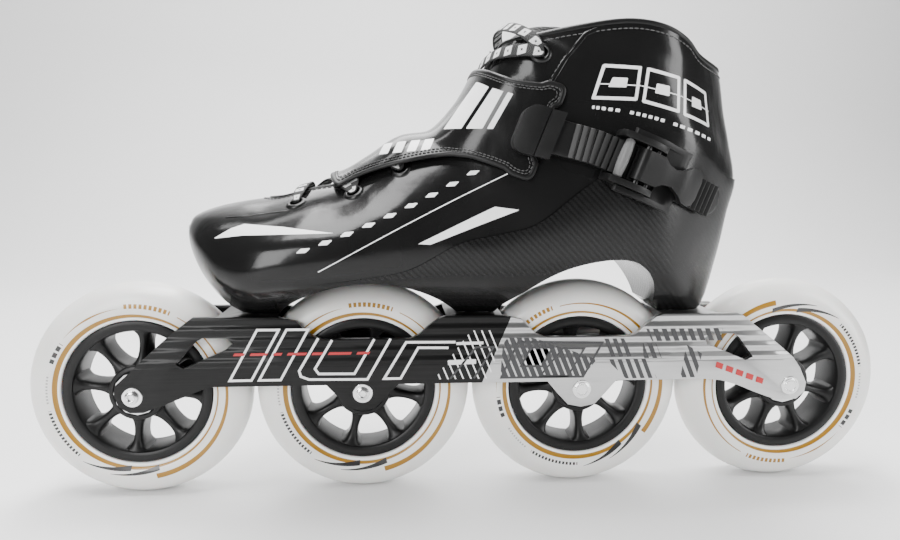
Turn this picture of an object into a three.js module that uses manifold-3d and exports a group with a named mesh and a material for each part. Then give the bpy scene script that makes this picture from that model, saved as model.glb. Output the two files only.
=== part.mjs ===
// Inline speed skate, left foot. Millimetres, +Z up. The origin is on the ground line, under the middle of
// the wheelbase. The toe points to -X, the buckle side (the outside of the foot) faces -Y.
import * as THREE from 'three';
import { mergeVertices } from 'three/addons/utils/BufferGeometryUtils.js';
import Module from 'manifold-3d';

const wasm = await Module();
wasm.setup();

// ---- driving dimensions -------------------------------------------------------------------------
const gap = 0.3; // clearance between pieces that touch

const wheelDiameter = 110;
const wheelPitch = 112; // distance between neighbouring axles
const wheelCount = 4;
const tyreWidth = 24;
const tyreInnerRadius = 36.8;
const tyreShoulder = 0.72; // share of the tyre's depth where its side starts to curve in
const hubWidth = 21;
const rimThickness = 5.5;
const bossRadius = 14;
const spokeCount = 8;
const spokeWidth = 4.6;
const spokeAngles = [39, 32, 6, 28]; // how far each wheel has rolled, in degrees
const hubShoulderBore = 9;
const hubBossStep = 1; // the boss stands proud of the hub's sides
const spokeRoot = 2.5; // from the boss to the start of a window
const windowCorner = 4;

const bearingOuterRadius = 11;
const bearingWidth = 7;
const bearingSpacing = 10; // between the two bearings of a wheel
const spacerWall = 1.4;

const axleRadius = 4;
const axleHeadRadius = 5.2;
const axleHeadHeight = 1.8;
const axleSocketRadius = 2.2;
const axleSocketDepth = 1.3;
const axleClearance = 0.2;

const frameWidth = 35;
const railThickness = 3;
const frameTop = 94.2;
const deckThickness = 7;
const deckLength = 42;
const railBottom = 59.5;
const tabBottom = 46.5;
const axleBossRadius = 7;
const wheelClearance = 2.5;

const drawnSpacing = 112; // distance between the mounting bolts that the boot's outlines are drawn for
const mountBoltRadius = 3;
const mountHeadRadius = 5;
const mountHeadHeight = 4;
const flangeRadius = 6.2;
const flangeThickness = 1.2;
const socketRadius = 2.6;
const socketDepth = 2.5;
const insertRadius = 5.5;
const insertLength = 9;
const insertSkin = 1.5; // carbon left under an insert

const upperWall = 3;
const insoleThickness = 3;
const tongueThickness = 4;
const linerThickness = 5;
const throatHalfWidth = 13;
const flapThickness = 2;
const laceRadius = 0.9;
const laceLift = 2;
const laceRoom = 1.6; // between the lace and the strap over it
const eyeletRadius = 5;
const eyeletBore = 2.7;
const eyeletThickness = 1.1;

const ankleRadius = 150; // radius of the strap's curve round the ankle, on a boot as long as drawn
const strapReach = 48; // of the strap's curve from the middle plane
const ladderWidth = 15.6;
const ladderThickness = 2;
const toothHeight = 1.2;
const toothPitch = 3.2;
const strapTilt = 21; // degrees, the strap falls towards the heel
const strapMiddle = [43.5, 178.5]; // x and z of the axis of the strap's curve
const strapDropStart = 6; // toe side of this, the strap is moulded to fall less steeply
const strapDrop = 0.12;
const ladderStart = -17;
const ladderEnd = 82;
const strapEndStart = -30; // the moulded piece between the instep strap and the ladder
const strapEndStep = -18.5; // where its thick toe side meets the sleeve
const strapEndWidth = 22;
const strapEndCorner = 6;
const strapEndHeight = 6.4;
const sleeveHeight = 5.4;
const sleeveInset = 0.3;
const sleeveOverlap = 5.5; // of the sleeve over the ladder
const buckleAngle = 8.7; // degrees round the strap's curve
const plateThickness = 1.7;
const wallThickness = 2.8;
const buckleInnerWidth = 17.6;
const leverPivot = [4, 7.2]; // along the strap, and out from it
const leverBossRadius = 3.5;
const leverThickness = 2.6;
const pinRadius = 1.4;
const releasePivot = [10.4, 5.1];
const releaseArm = 2.6; // thickness of its finger arms
const barPlace = [-5, 6.3];
const barPinRadius = 1;
const releasePinRadius = pinRadius * 0.8;
const boreClearance = 0.2;
const screwHeadRadius = 4;
const screwHeadHeight = 0.9;
const nutRadius = 4.4;
const nutHeight = 3;

// ---- finishes -----------------------------------------------------------------------------------
const finish = (color, roughness, metalness = 0) =>
  new THREE.MeshStandardMaterial({ color, roughness, metalness });
const finishes = {
  tyre: finish(0xe9e7e2, 0.45),
  hub: finish(0x1b1b1d, 0.5),
  steel: finish(0xb9bbbd, 0.3, 1),
  frame: finish(0x6f7174, 0.35, 1),
  carbon: finish(0x1a1a1c, 0.35),
  patent: finish(0x0d0d0f, 0.15),
  lining: finish(0x151515, 0.9),
  lace: finish(0x101010, 0.8),
  plastic: finish(0x202022, 0.4),
  greyPlastic: finish(0x8a8a8c, 0.35),
};

const group = new THREE.Group();

// ---- helpers ------------------------------------------------------------------------------------
const rad = THREE.MathUtils.degToRad;
const wheelRadius = wheelDiameter / 2;
const wheelX = Array.from({ length: wheelCount }, (_, i) => (i - (wheelCount - 1) / 2) * wheelPitch);
const frameHalf = frameWidth / 2;
const mountPoints = wheelX.slice(1).map((x, i) => (x + wheelX[i]) / 2); // a bolt between each two wheels
const mountSpacing = mountPoints[1] - mountPoints[0];
const lengthways = (x) => (x * mountSpacing) / drawnSpacing; // the boot's blocks stay over the bolts
const ladderRadius = lengthways(lengthways(ankleRadius)); // a longer boot is flatter along its side
const pastAll = 2 * ladderRadius; // depth of a cutting form that goes right through a strap piece

function signedVolume(geometry) {
  const p = geometry.attributes.position;
  const index = geometry.index;
  const [a, b, c] = [new THREE.Vector3(), new THREE.Vector3(), new THREE.Vector3()];
  let volume = 0;
  for (let i = 0; i < index.count; i += 3) {
    a.fromBufferAttribute(p, index.getX(i));
    b.fromBufferAttribute(p, index.getX(i + 1));
    c.fromBufferAttribute(p, index.getX(i + 2));
    volume += a.dot(b.cross(c)) / 6;
  }
  return volume;
}

// Merges shared corners and turns the faces outward.
function closed(geometry) {
  const bare = geometry.clone();
  bare.deleteAttribute('normal');
  bare.deleteAttribute('uv');
  const merged = mergeVertices(bare, 1e-4);
  if (signedVolume(merged) < 0) {
    const index = merged.index;
    for (let i = 0; i < index.count; i += 3) {
      const first = index.getX(i);
      index.setX(i, index.getX(i + 1));
      index.setX(i + 1, first);
    }
  }
  return merged;
}

function solid(geometry) {
  const merged = closed(geometry);
  return new wasm.Manifold(new wasm.Mesh({
    numProp: 3,
    vertProperties: Float32Array.from(merged.attributes.position.array),
    triVerts: Uint32Array.from(merged.index.array),
  }));
}

function toGeometry(manifold) {
  const mesh = manifold.getMesh();
  const geometry = new THREE.BufferGeometry();
  geometry.setAttribute('position', new THREE.BufferAttribute(Float32Array.from(mesh.vertProperties), 3));
  geometry.setIndex(new THREE.BufferAttribute(Uint32Array.from(mesh.triVerts), 1));
  return geometry;
}

function add(name, shape, material, parent = group) {
  const geometry = shape.isBufferGeometry ? closed(shape) : toGeometry(shape);
  geometry.computeVertexNormals();
  const mesh = new THREE.Mesh(geometry, material);
  mesh.name = name;
  parent.add(mesh);
  return mesh;
}

const joined = (first, ...rest) => rest.reduce((all, next) => all.add(next), first);
const cut = (first, ...rest) => rest.reduce((all, next) => all.subtract(next), first);

function outline(points, holes = []) {
  const shape = new THREE.Shape(points.map(([x, z]) => new THREE.Vector2(x, z)));
  shape.holes = holes.map((hole) => new THREE.Path(hole.map(([x, z]) => new THREE.Vector2(x, z))));
  return shape;
}

// An outline in the side view, x and z, made thick from y0 to y1.
function sidePlate(shape, y0, y1) {
  const settings = { depth: y1 - y0, bevelEnabled: false, curveSegments: 8 };
  const geometry = new THREE.ExtrudeGeometry(shape, settings);
  return geometry.rotateX(Math.PI / 2).translate(0, y1, 0);
}

// A round bar along Y, on the axis x, z.
function barY(radius, y0, y1, x, z, segments = 16) {
  return new THREE.CylinderGeometry(radius, radius, y1 - y0, segments).translate(x, (y0 + y1) / 2, z);
}

// A round bar standing along Z.
function barZ(radius, z0, z1, x, y, segments = 14) {
  return new THREE.CylinderGeometry(radius, radius, z1 - z0, segments)
    .rotateX(Math.PI / 2).translate(x, y, (z0 + z1) / 2);
}

// A profile of radius and y turned round the Y axis.
function turned(profile, segments) {
  const points = profile.map(([r, y]) => new THREE.Vector2(r, y));
  return new THREE.LatheGeometry(points, segments);
}

// A closed ring: inner radius, outer radius, y from and to.
function ring(inner, outer, y0, y1, segments = 12) {
  return turned([[inner, y0], [outer, y0], [outer, y1], [inner, y1], [inner, y0]], segments);
}

// A smooth line through the points, as a list of x, z pairs.
function smooth(points, steps) {
  const knots = points.map(([x, z]) => new THREE.Vector3(x, 0, z));
  const curve = new THREE.CatmullRomCurve3(knots, false, 'centripetal');
  return curve.getPoints(steps).map((p) => [p.x, p.z]);
}

// ---- wheels -------------------------------------------------------------------------------------
function tyre() {
  const depth = wheelRadius - tyreInnerRadius;
  const half = tyreWidth / 2;
  const shoulder = tyreInnerRadius + depth * (1 - tyreShoulder);
  const profile = [[tyreInnerRadius, -half * 0.83], [shoulder, -half]];
  const steps = 6;
  for (let i = 1; i < steps; i++) {
    const angle = -Math.PI / 2 + (Math.PI * i) / steps;
    profile.push([shoulder + (wheelRadius - shoulder) * Math.cos(angle) ** 0.9, half * Math.sin(angle)]);
  }
  profile.push([shoulder, half]);
  profile.push([tyreInnerRadius, half * 0.83], [tyreInnerRadius, -half * 0.83]);
  return turned(profile, 32);
}

// The opening between two spokes, with rounded corners, round the angle a.
function spokeWindow(a) {
  const step = Math.PI / spokeCount;
  const outer = tyreInnerRadius - gap - rimThickness;
  const inner = bossRadius + spokeRoot;
  const corner = outer - windowCorner;
  const side = (r) => step - Math.asin(spokeWidth / 2 / r);
  const at = (r, angle) => [r * Math.cos(a + angle), r * Math.sin(a + angle)];
  const blunt = side(inner) * 0.45;
  return [
    at(inner, -blunt), at(inner, blunt), at(corner, side(corner)), at(outer, side(outer) * 0.72),
    at(outer, -side(outer) * 0.72), at(corner, -side(corner)),
  ];
}

function hub(roll) {
  const rimRadius = tyreInnerRadius - gap;
  const seatRadius = bearingOuterRadius + gap;
  const shoulder = bearingSpacing / 2 - gap;
  const half = hubWidth / 2;
  const windows = [];
  for (let i = 0; i < spokeCount; i++) {
    windows.push(spokeWindow(rad(roll) + ((i + 0.5) * 2 * Math.PI) / spokeCount));
  }
  const disc = new THREE.Shape();
  disc.absarc(0, 0, rimRadius, 0, 2 * Math.PI);
  disc.holes = windows.map((w) => new THREE.Path(w.map(([x, z]) => new THREE.Vector2(x, z))));
  const wheelBody = solid(sidePlate(disc, -half, half));
  const boss = solid(barY(bossRadius, -half - hubBossStep, half + hubBossStep, 0, 0));
  const bore = solid(barY(hubShoulderBore, -half, half, 0, 0));
  const seats = [-1, 1].map((side) => {
    const [from, to] = side < 0 ? [-half - 2, -shoulder] : [shoulder, half + 2];
    return solid(barY(seatRadius, from, to, 0, 0));
  });
  return cut(joined(wheelBody, boss), bore, ...seats);
}

function addWheels() {
  wheelX.forEach((x, i) => {
    const wheel = new THREE.Group();
    wheel.position.set(x, 0, wheelRadius);
    group.add(wheel);
    add(`tyre_${i + 1}`, tyre(), finishes.tyre, wheel);
    add(`hub_${i + 1}`, hub(spokeAngles[i]), finishes.hub, wheel);
    const near = bearingSpacing / 2;
    const bore = axleRadius + axleClearance;
    const left = ring(bore, bearingOuterRadius, -near - bearingWidth, -near);
    const right = ring(bore, bearingOuterRadius, near, near + bearingWidth);
    add(`bearing_${i + 1}_outer`, left, finishes.steel, wheel);
    add(`bearing_${i + 1}_inner`, right, finishes.steel, wheel);
    const spacer = ring(bore, bore + spacerWall, gap - near, near - gap);
    add(`bearing_spacer_${i + 1}`, spacer, finishes.steel, wheel);
    add(`axle_bolt_${i + 1}`, axleBolt(), finishes.steel, wheel);
  });
}

function axleBolt() {
  const face = -frameHalf - gap;
  const top = face - axleHeadHeight;
  return turned([
    [0, frameHalf], [axleRadius - 0.6, frameHalf], [axleRadius, frameHalf - 0.8], [axleRadius, face],
    [axleHeadRadius, face], [axleHeadRadius, face - 1.2], [axleHeadRadius - 1.4, top], [axleSocketRadius, top],
    [axleSocketRadius, top + axleSocketDepth], [0, top + axleSocketDepth],
  ], 12);
}

// ---- frame --------------------------------------------------------------------------------------
// Each axle hangs in a tab below the rail: the half width of its top and of its bottom edge.
function tabBelow(x, topHalf, bottomHalf) {
  const low = (bottomHalf + topHalf) / 2;
  return [
    [x - topHalf, railBottom], [x - low, (railBottom + tabBottom) / 2], [x - bottomHalf, tabBottom + 0.6],
    [x, tabBottom - 0.8], [x + bottomHalf, tabBottom + 0.6], [x + low, (railBottom + tabBottom) / 2],
    [x + topHalf, railBottom],
  ];
}

// The dip in the rail's top edge over a middle wheel.
function scoopOver(x) {
  return [
    [x - 42, frameTop], [x - 32, frameTop - 2.2], [x - 28, frameTop - 6.5], [x - 24.5, 84.6], [x - 20, 82.8],
    [x + 24, 82.8], [x + 28, 84.6], [x + 33, frameTop - 5], [x + 38, frameTop - 1.4], [x + 42, frameTop],
  ].reverse();
}

function railOutline() {
  const [first, second, third, last] = wheelX;
  const frontEnd = [
    [first + 30, frameTop], [first + 20, 86.5], [first + 5, 73], [first - 3, 65.2], [first - 8.2, 60.5],
    [first - 8.6, 55.5], [first - 6.5, 50], [first - 1.5, 47], [first + 5, 47], [first + 15, 50.8],
    [first + 32, 57.4], [first + 37, railBottom],
  ];
  const rearEnd = [
    [last - 47, railBottom], [last - 38, 58.6], [last - 29, 56], [last - 20, 52.2], [last - 11, 48.8],
    [last - 5, 47.4], [last + 4, 47.8], [last + 8.2, 51.5], [last + 8.8, 56.5], [last + 5, 64.5],
    [last + 1, 70.1], [last - 8, 77.6], [last - 18, 85.4], [last - 28, frameTop - 1.2], [last - 31, frameTop],
  ];
  return [
    ...frontEnd, ...tabBelow(second, 18, 6), ...tabBelow(third, 18, 7), ...rearEnd,
    ...scoopOver(third), ...scoopOver(second),
  ];
}

function railWindows() {
  const first = wheelX[0];
  const last = wheelX[wheelCount - 1];
  const front = [
    [first + 21.4, 71], [first + 25, 69], [first + 33, 72.6], [first + 45, 77.8], [first + 49, 81.2],
    [first + 46.4, 83.9], [first + 34.6, 84.2], [first + 31.4, 82.4],
  ];
  const rear = [
    [last - 21.4, 71], [last - 25, 69.2], [last - 33.4, 72.6], [last - 46.6, 78.2], [last - 48, 81.2],
    [last - 45, 83.6], [last - 32.6, 83.6], [last - 29.8, 81.8],
  ];
  return [front, rear];
}

function addFrame() {
  const rail = outline(railOutline(), railWindows());
  const inner = frameHalf - railThickness;
  const near = solid(sidePlate(rail, -frameHalf, -inner));
  const far = solid(sidePlate(rail, inner, frameHalf));
  const deckBottom = frameTop - deckThickness;
  const deckMiddle = frameTop - deckThickness / 2;
  const decks = mountPoints.map((x) => solid(
    new THREE.BoxGeometry(deckLength, 2 * inner + 2, deckThickness).translate(x, 0, deckMiddle),
  ));
  const tyreRoom = wheelRadius + wheelClearance;
  const bossFace = bearingSpacing / 2 + bearingWidth + gap;
  const bosses = wheelX.flatMap((x) => [
    solid(barY(axleBossRadius, bossFace, inner + 1, x, wheelRadius)),
    solid(barY(axleBossRadius, -inner - 1, -bossFace, x, wheelRadius)),
  ]);
  const body = joined(near, far, ...bosses, ...decks.map((deck) => wheelX.reduce(
    (left, x) => left.subtract(solid(barY(tyreRoom, -inner - 2, inner + 2, x, wheelRadius, 28))),
    deck,
  )));
  const axleHoles = wheelX.map((x) => solid(
    barY(axleRadius + axleClearance, -frameHalf - 1, frameHalf + 1, x, wheelRadius),
  ));
  const boltHoles = mountPoints.map((x) => solid(
    barZ(mountBoltRadius + axleClearance, deckBottom - 1, frameTop + 1, x, 0),
  ));
  add('frame', cut(body, ...axleHoles, ...boltHoles), finishes.frame);
}

function addMountingBolts() {
  const deckBottom = frameTop - deckThickness;
  const headTop = deckBottom - gap;
  const insertBottom = frameTop + gap + insertSkin;
  const bore = mountBoltRadius + axleClearance;
  const names = ['front', 'middle', 'rear'];
  mountPoints.forEach((x, i) => {
    const bolt = cut(
      joined(
        solid(barZ(mountHeadRadius, headTop - mountHeadHeight, headTop, x, 0)),
        solid(barZ(flangeRadius, headTop - flangeThickness, headTop, x, 0)),
        solid(barZ(mountBoltRadius, headTop - 1, insertBottom + insertLength - 1, x, 0)),
      ),
      solid(barZ(socketRadius, -socketDepth, socketDepth, x, 0, 6).translate(0, 0, headTop - mountHeadHeight)),
    );
    add(`mount_bolt_${names[i]}`, bolt, finishes.steel);
    const insert = ring(bore, insertRadius, 0, insertLength).rotateX(Math.PI / 2)
      .translate(x, 0, insertBottom);
    add(`boot_insert_${names[i]}`, insert, finishes.steel);
  });
}

// ---- boot surface -------------------------------------------------------------------------------
// Sections run from the toe, under the foot and up the heel. Each one goes from a point on top of the foot
// (x, z) to a point under or behind it (x, z), with its half widths at stations between the two, and how far
// its top leans to the inside of the foot.
const stations = [0.05, 0.2, 0.42, 0.68, 0.9];
const sections = [
  [[-141, 140], [-141.5, 136.5], [4, 6, 7, 6, 4], 8],
  [[-137.4, 144], [-138, 124], [13, 18, 20, 17, 11], 8],
  [[-128.4, 147.5], [-131.5, 110], [19, 29, 33, 28, 16], 8],
  [[-114, 150.5], [-123, 98.5], [21, 36, 42, 38, 18], 7],
  [[-97.5, 153], [-112, 92.8], [20, 39, 48, 44, 18], 5],
  [[-80, 158], [-92, 92.8], [20, 38, 50, 46, 18], 4],
  [[-64, 161.5], [-66, 92.8], [19, 36, 49, 45, 19], 2],
  [[-50, 169.5], [-38, 92.8], [19, 34, 46, 43, 19], 0],
  [[-36, 178.5], [-8, 92.8], [20, 33, 43, 41, 19], 0],
  [[-20, 182], [24, 92.8], [22, 34, 41, 40, 19], 0],
  [[-7, 195], [54, 92.8], [25, 35, 41, 39, 19], 0],
  [[1.5, 209], [84, 92.8], [27, 36, 41, 38, 19], 0],
  [[5, 218], [104, 92.8], [28, 37, 41, 37, 18], 0],
  [[7.5, 224], [121, 93.4], [28, 38, 41, 36, 17], 0],
  [[9.5, 228], [129.5, 121], [28, 38, 41, 36, 17], 0],
  [[11.5, 230.5], [134, 145], [27, 37, 41, 36, 17], 0],
  [[13.5, 232], [137.5, 162], [26, 36, 41, 36, 17], 0],
  [[15.5, 233.5], [134, 180], [25, 36, 40, 35, 16], 0],
  [[17.5, 235], [130, 196], [24, 35, 39, 34, 16], 0],
  [[19.5, 236.5], [127, 212], [23, 34, 37, 33, 16], 0],
  [[22, 239], [123, 226], [22, 33, 36, 32, 16], 0],
  [[25, 244], [120, 240], [21, 32, 35, 31, 16], 0],
];
const collarLine = [
  [-170, 230], [-30, 224], [14, 226], [40, 230], [66, 233.5], [84, 232], [98, 227], [112, 219], [170, 212],
];
const bedLine = [
  [-160, 124], [-130, 119], [-100, 117], [-50, 116.5], [0, 122], [50, 127.5], [100, 129], [160, 130],
];
const seamLine = [
  [-170, 110], [-130, 106], [-110, 105], [-92, 108], [-76, 114], [-55, 117], [-33, 121], [-10, 133], [8, 137],
  [26, 142], [47, 158], [60, 166], [78, 173], [94, 176.5], [112, 172], [126, 164], [170, 160],
];
const ringSteps = 20;
const sectionSteps = 1; // rings for each section of the table

function spline(values, t, wrap) {
  const n = values.length;
  const i = Math.min(Math.floor(t), wrap ? n - 1 : n - 2);
  const f = t - i;
  const at = (k) => (wrap ? values[(k + n) % n] : values[Math.max(0, Math.min(n - 1, k))]);
  return at(0 + i).map((b, k) => {
    const [a, c, d] = [at(i - 1)[k], at(i + 1)[k], at(i + 2)[k]];
    return 0.5 * (2 * b + (c - a) * f + (2 * a - 5 * b + 4 * c - d) * f * f + (3 * b - a - 3 * c + d) * f ** 3);
  });
}

const flatSections = sections.map(([top, under, widths, lean]) => [
  lengthways(top[0]), top[1], lengthways(under[0]), under[1], ...widths, lean,
]);

// The boot's surface: u counts sections from the toe, v goes round from the top by the outside, 0 to 1.
function bootPoint(u, v) {
  const row = spline(flatSections, Math.min(u, sections.length - 1), false);
  const widths = row.slice(4, 9);
  const lean = row[9];
  const loop = [
    [0, 0], ...widths.map((w, i) => [stations[i], -w]),
    [1, 0], ...widths.map((w, i) => [stations[i], w]).reverse(),
  ];
  const [s, y] = spline(loop, ((v % 1) + 1) % 1 * loop.length, true);
  return new THREE.Vector3(
    row[0] + (row[2] - row[0]) * s, y + lean * (1 - s), row[1] + (row[3] - row[1]) * s,
  );
}

function bootNormal(u, v) {
  const du = 0.05;
  const along = bootPoint(Math.min(u + du, sections.length - 1), v).sub(bootPoint(Math.max(u - du, 0), v));
  const round = bootPoint(u, v + 0.01).sub(bootPoint(u, v - 0.01));
  return round.cross(along).normalize();
}

const offBoot = (u, v, lift) => bootPoint(u, v).addScaledVector(bootNormal(u, v), lift);

// The triangles that close one end of a skin: a fan round a middle point, or a strip across a thin ring.
function endCap(start, n, middle, thin) {
  const faces = [];
  if (thin) {
    for (let j = 0; j + 1 < n / 2; j++) {
      const [a, b, c, d] = [j, j + 1, n - 2 - j, n - 1 - j].map((k) => start + k);
      faces.push([a, b, c], [a, c, d]);
    }
  } else {
    for (let j = 0; j < n; j++) faces.push([start + j, start + ((j + 1) % n), middle]);
  }
  return faces;
}

// A closed skin through rings of points. A thin ring goes out on one side of a sheet and back on the other.
function skin(rings, thin = false) {
  const n = rings[0].length;
  const points = rings.flat();
  const index = [];
  for (let i = 0; i + 1 < rings.length; i++) {
    for (let j = 0; j < n; j++) {
      const [a, b] = [i * n + j, i * n + ((j + 1) % n)];
      index.push(a, b, a + n, b, b + n, a + n);
    }
  }
  [0, rings.length - 1].forEach((end) => {
    const middle = rings[end].reduce((sum, p) => sum.add(p), new THREE.Vector3()).divideScalar(n);
    if (!thin) points.push(middle);
    endCap(end * n, n, points.length - 1, thin).forEach(([a, b, c]) => {
      index.push(...(end === 0 ? [b, a, c] : [a, b, c]));
    });
  });
  const geometry = new THREE.BufferGeometry().setFromPoints(points);
  geometry.setIndex(index);
  return geometry;
}

// The whole boot as a solid, its surface moved out by lift (in when negative).
function bootForm(lift, firstSection = 0, rise = 0) {
  const rings = [];
  const last = sections.length - 1;
  for (let i = firstSection * sectionSteps; i <= last * sectionSteps; i++) {
    const u = i / sectionSteps;
    rings.push(Array.from({ length: ringSteps }, (_, j) => offBoot(u, j / ringSteps, lift)));
  }
  if (rise > 0) {
    const top = rings[rings.length - 1];
    rings.push(top.map((p) => p.clone().add(new THREE.Vector3(0, 0, rise))));
  }
  return solid(skin(rings));
}

// Everything below (or above) a line drawn in the side view, from one side to the other.
function beyond(line, z, halfWidth = 90, raise = 0) {
  const edge = smooth(line, 26).map(([x, height]) => [lengthways(x), height + raise]);
  const shape = outline([...edge, [edge[edge.length - 1][0], z], [edge[0][0], z]]);
  return solid(sidePlate(shape, -halfWidth, halfWidth));
}

// ---- boot pieces --------------------------------------------------------------------------------
const wheelArch = (x, z, radius) => solid(barY(radius, -70, 70, x, z, 36));

// The opening under the heel, cut right through the hull above the third wheel.
function heelArch() {
  const line = smooth([
    [9, 90], [13, 98.5], [21.4, 106.4], [33.5, 115.7], [45.8, 121.1], [60.6, 124], [73.2, 123.6], [81.5, 119.6],
    [87.8, 112.6], [91.6, 102.8], [92.4, 90],
  ], 18);
  return solid(sidePlate(outline(line.map(([x, z]) => [lengthways(x), z])), -70, 70));
}

// The long slot over the tongue, from the toe bar up to the collar.
function throatSlot() {
  const half = throatHalfWidth;
  const rings = [];
  const slotStart = 3.3;
  for (let u = slotStart; u <= sections.length - 1; u += 0.5) {
    const middle = bootPoint(u, 0);
    const reach = u < slotStart + 0.3 ? half * 0.6 : half + Math.max(0, u - 9) * 0.9;
    const normal = bootNormal(u, 0);
    rings.push([[-reach, -9], [-reach, 30], [reach, 30], [reach, -9]].map(
      ([side, lift]) => middle.clone().add(new THREE.Vector3(0, side, 0)).addScaledVector(normal, lift),
    ));
  }
  return solid(skin(rings));
}

function boltPockets() {
  const bore = insertRadius + gap;
  const bottom = frameTop + insertSkin;
  return mountPoints.flatMap((x) => [
    solid(barZ(bore, bottom, bottom + insertLength + 2 * gap, x, 0)),
    solid(barZ(mountBoltRadius + axleClearance, frameTop - 3, bottom + 1, x, 0)),
  ]);
}

const eyeletPlaces = [[4.75, 0.118], [6.35, 0.128], [7.75, 0.128], [14.85, 0.132]];

// Turns a piece made round the Y axis so that its axis is the boot's normal at u, v.
function onBoot(geometry, u, v, lift) {
  const turn = new THREE.Quaternion().setFromUnitVectors(new THREE.Vector3(0, 1, 0), bootNormal(u, v));
  const place = offBoot(u, v, lift);
  return geometry.applyQuaternion(turn).translate(place.x, place.y, place.z);
}

function addBoot() {
  const outer = bootForm(0);
  const pull = bootForm(-upperWall, 1, 40);
  const cavity = pull.intersect(beyond(bedLine, 300));
  const tyreSpace = wheelX.map((x) => wheelArch(x, wheelRadius, wheelRadius + wheelClearance));
  const arches = [wheelArch(wheelX[1] + 3, wheelRadius - 0.5, wheelRadius + 5), heelArch(), ...tyreSpace];
  const foot = cut(outer, cavity);
  const below = beyond(seamLine, 60);
  const above = beyond(seamLine, 300, 90, gap);
  const collar = beyond(collarLine, 60);
  const frameSpace = solid(new THREE.BoxGeometry(400, 120, 60).translate(0, 0, frameTop + gap - 30));
  const shell = cut(foot.intersect(below), ...arches, frameSpace, ...boltPockets(), buckleHole());
  add('carbon_shell', shell, finishes.carbon);
  const holes = eyeletSeats();
  const upper = cut(foot.intersect(above).intersect(collar), throatSlot(), ...holes);
  add('upper', upper, finishes.patent);
  const bed = pull.intersect(beyond(bedLine, 300, 90, gap)).intersect(
    beyond(bedLine, 60, 90, gap + insoleThickness),
  );
  const insole = bootForm(-upperWall - gap, 1, 40).intersect(bed).subtract(
    solid(new THREE.BoxGeometry(20, 200, 200).translate(lengthways(-138), 0, 130)),
  );
  add('insole', insole, finishes.lining);
  addLining();
}

// A patch of the boot's surface made thick: u from and to, v from and to, and the two lifts.
function patch([u0, u1, uSteps], [v0, v1, vSteps], low, high) {
  const rings = [];
  for (let i = 0; i <= uSteps; i++) {
    const u = u0 + ((u1 - u0) * i) / uSteps;
    const span = Array.from({ length: vSteps + 1 }, (_, j) => v0 + ((v1 - v0) * j) / vSteps);
    const over = span.map((v) => offBoot(u, v, high));
    const under = span.map((v) => offBoot(u, v, low)).reverse();
    rings.push([...over, ...under]);
  }
  return solid(skin(rings, true));
}

function addLining() {
  const under = -upperWall - gap;
  const tongue = patch([4, 20, 16], [-3 / ringSteps, 3 / ringSteps, 6], under - tongueThickness, under);
  add('tongue', tongue, finishes.lining);
  const front = 4 / ringSteps;
  const pad = patch([15, 20, 5], [front, 1 - front, ringSteps - 8], under - linerThickness, under);
  const trimmed = pad.intersect(beyond(collarLine, 60, 90, 2));
  add('collar_pad', trimmed, finishes.lining);
}

function eyeletSeats() {
  return eyeletPlaces.flatMap(([u, v]) => [v, -v].map((side) => {
    const pocket = onBoot(barY(eyeletRadius + gap, -eyeletThickness - gap, 3, 0, 0, 9), u, side, 0.2);
    const hole = onBoot(barY(eyeletBore, -8, 3, 0, 0, 9), u, side, 0);
    return solid(pocket).add(solid(hole));
  }));
}

function addEyelets() {
  eyeletPlaces.forEach(([u, v], i) => {
    [['outer', v], ['inner', -v]].forEach(([side, place]) => {
      const washer = ring(eyeletBore, eyeletRadius, -eyeletThickness, 0, 9);
      add(`eyelet_${side}_${i + 1}`, onBoot(washer, u, place, 0.2), finishes.steel);
    });
  });
}

// The lace crosses the tongue from eyelet to eyelet, one bar at each row and a slant to the next:
// section, place round it and any extra lift.
const laceRoute = [
  [4.75, 0.118], [4.78, 0.06], [4.8, 0], [4.78, -0.06], [4.75, -0.118],
  [5.2, -0.07], [5.6, 0], [6, 0.07], [6.35, 0.128],
  [6.4, 0.06], [6.4, 0], [6.4, -0.06], [6.35, -0.128],
  [6.7, -0.07], [7.1, 0], [7.4, 0.07], [7.75, 0.128],
  [7.8, 0.06], [7.8, 0], [7.8, -0.06], [7.75, -0.128],
  [9, -0.09], [10.6, -0.04], [12.2, 0.04], [13.3, 0.08], [14.1, 0.11, 1], [14.85, 0.132, 1.5],
  [15.7, 0.085, 1], [16.4, 0.03, 1], [16.4, -0.03, 1], [15.7, -0.085, 1], [14.85, -0.132, 1.5],
];

function addLace() {
  const points = laceRoute.map(([u, v, extra = 0]) => offBoot(u, v, laceLift + extra));
  const path = new THREE.CatmullRomCurve3(points, false, 'centripetal');
  const section = new THREE.Shape();
  for (let i = 0; i < 8; i++) {
    const angle = (i * Math.PI) / 4;
    const [x, y] = [laceRadius * Math.cos(angle), laceRadius * Math.sin(angle)];
    section[i === 0 ? 'moveTo' : 'lineTo'](x, y);
  }
  section.closePath();
  const tube = new THREE.ExtrudeGeometry(section, { steps: 52, bevelEnabled: false, extrudePath: path });
  add('lace', tube, finishes.lace);
}

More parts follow.
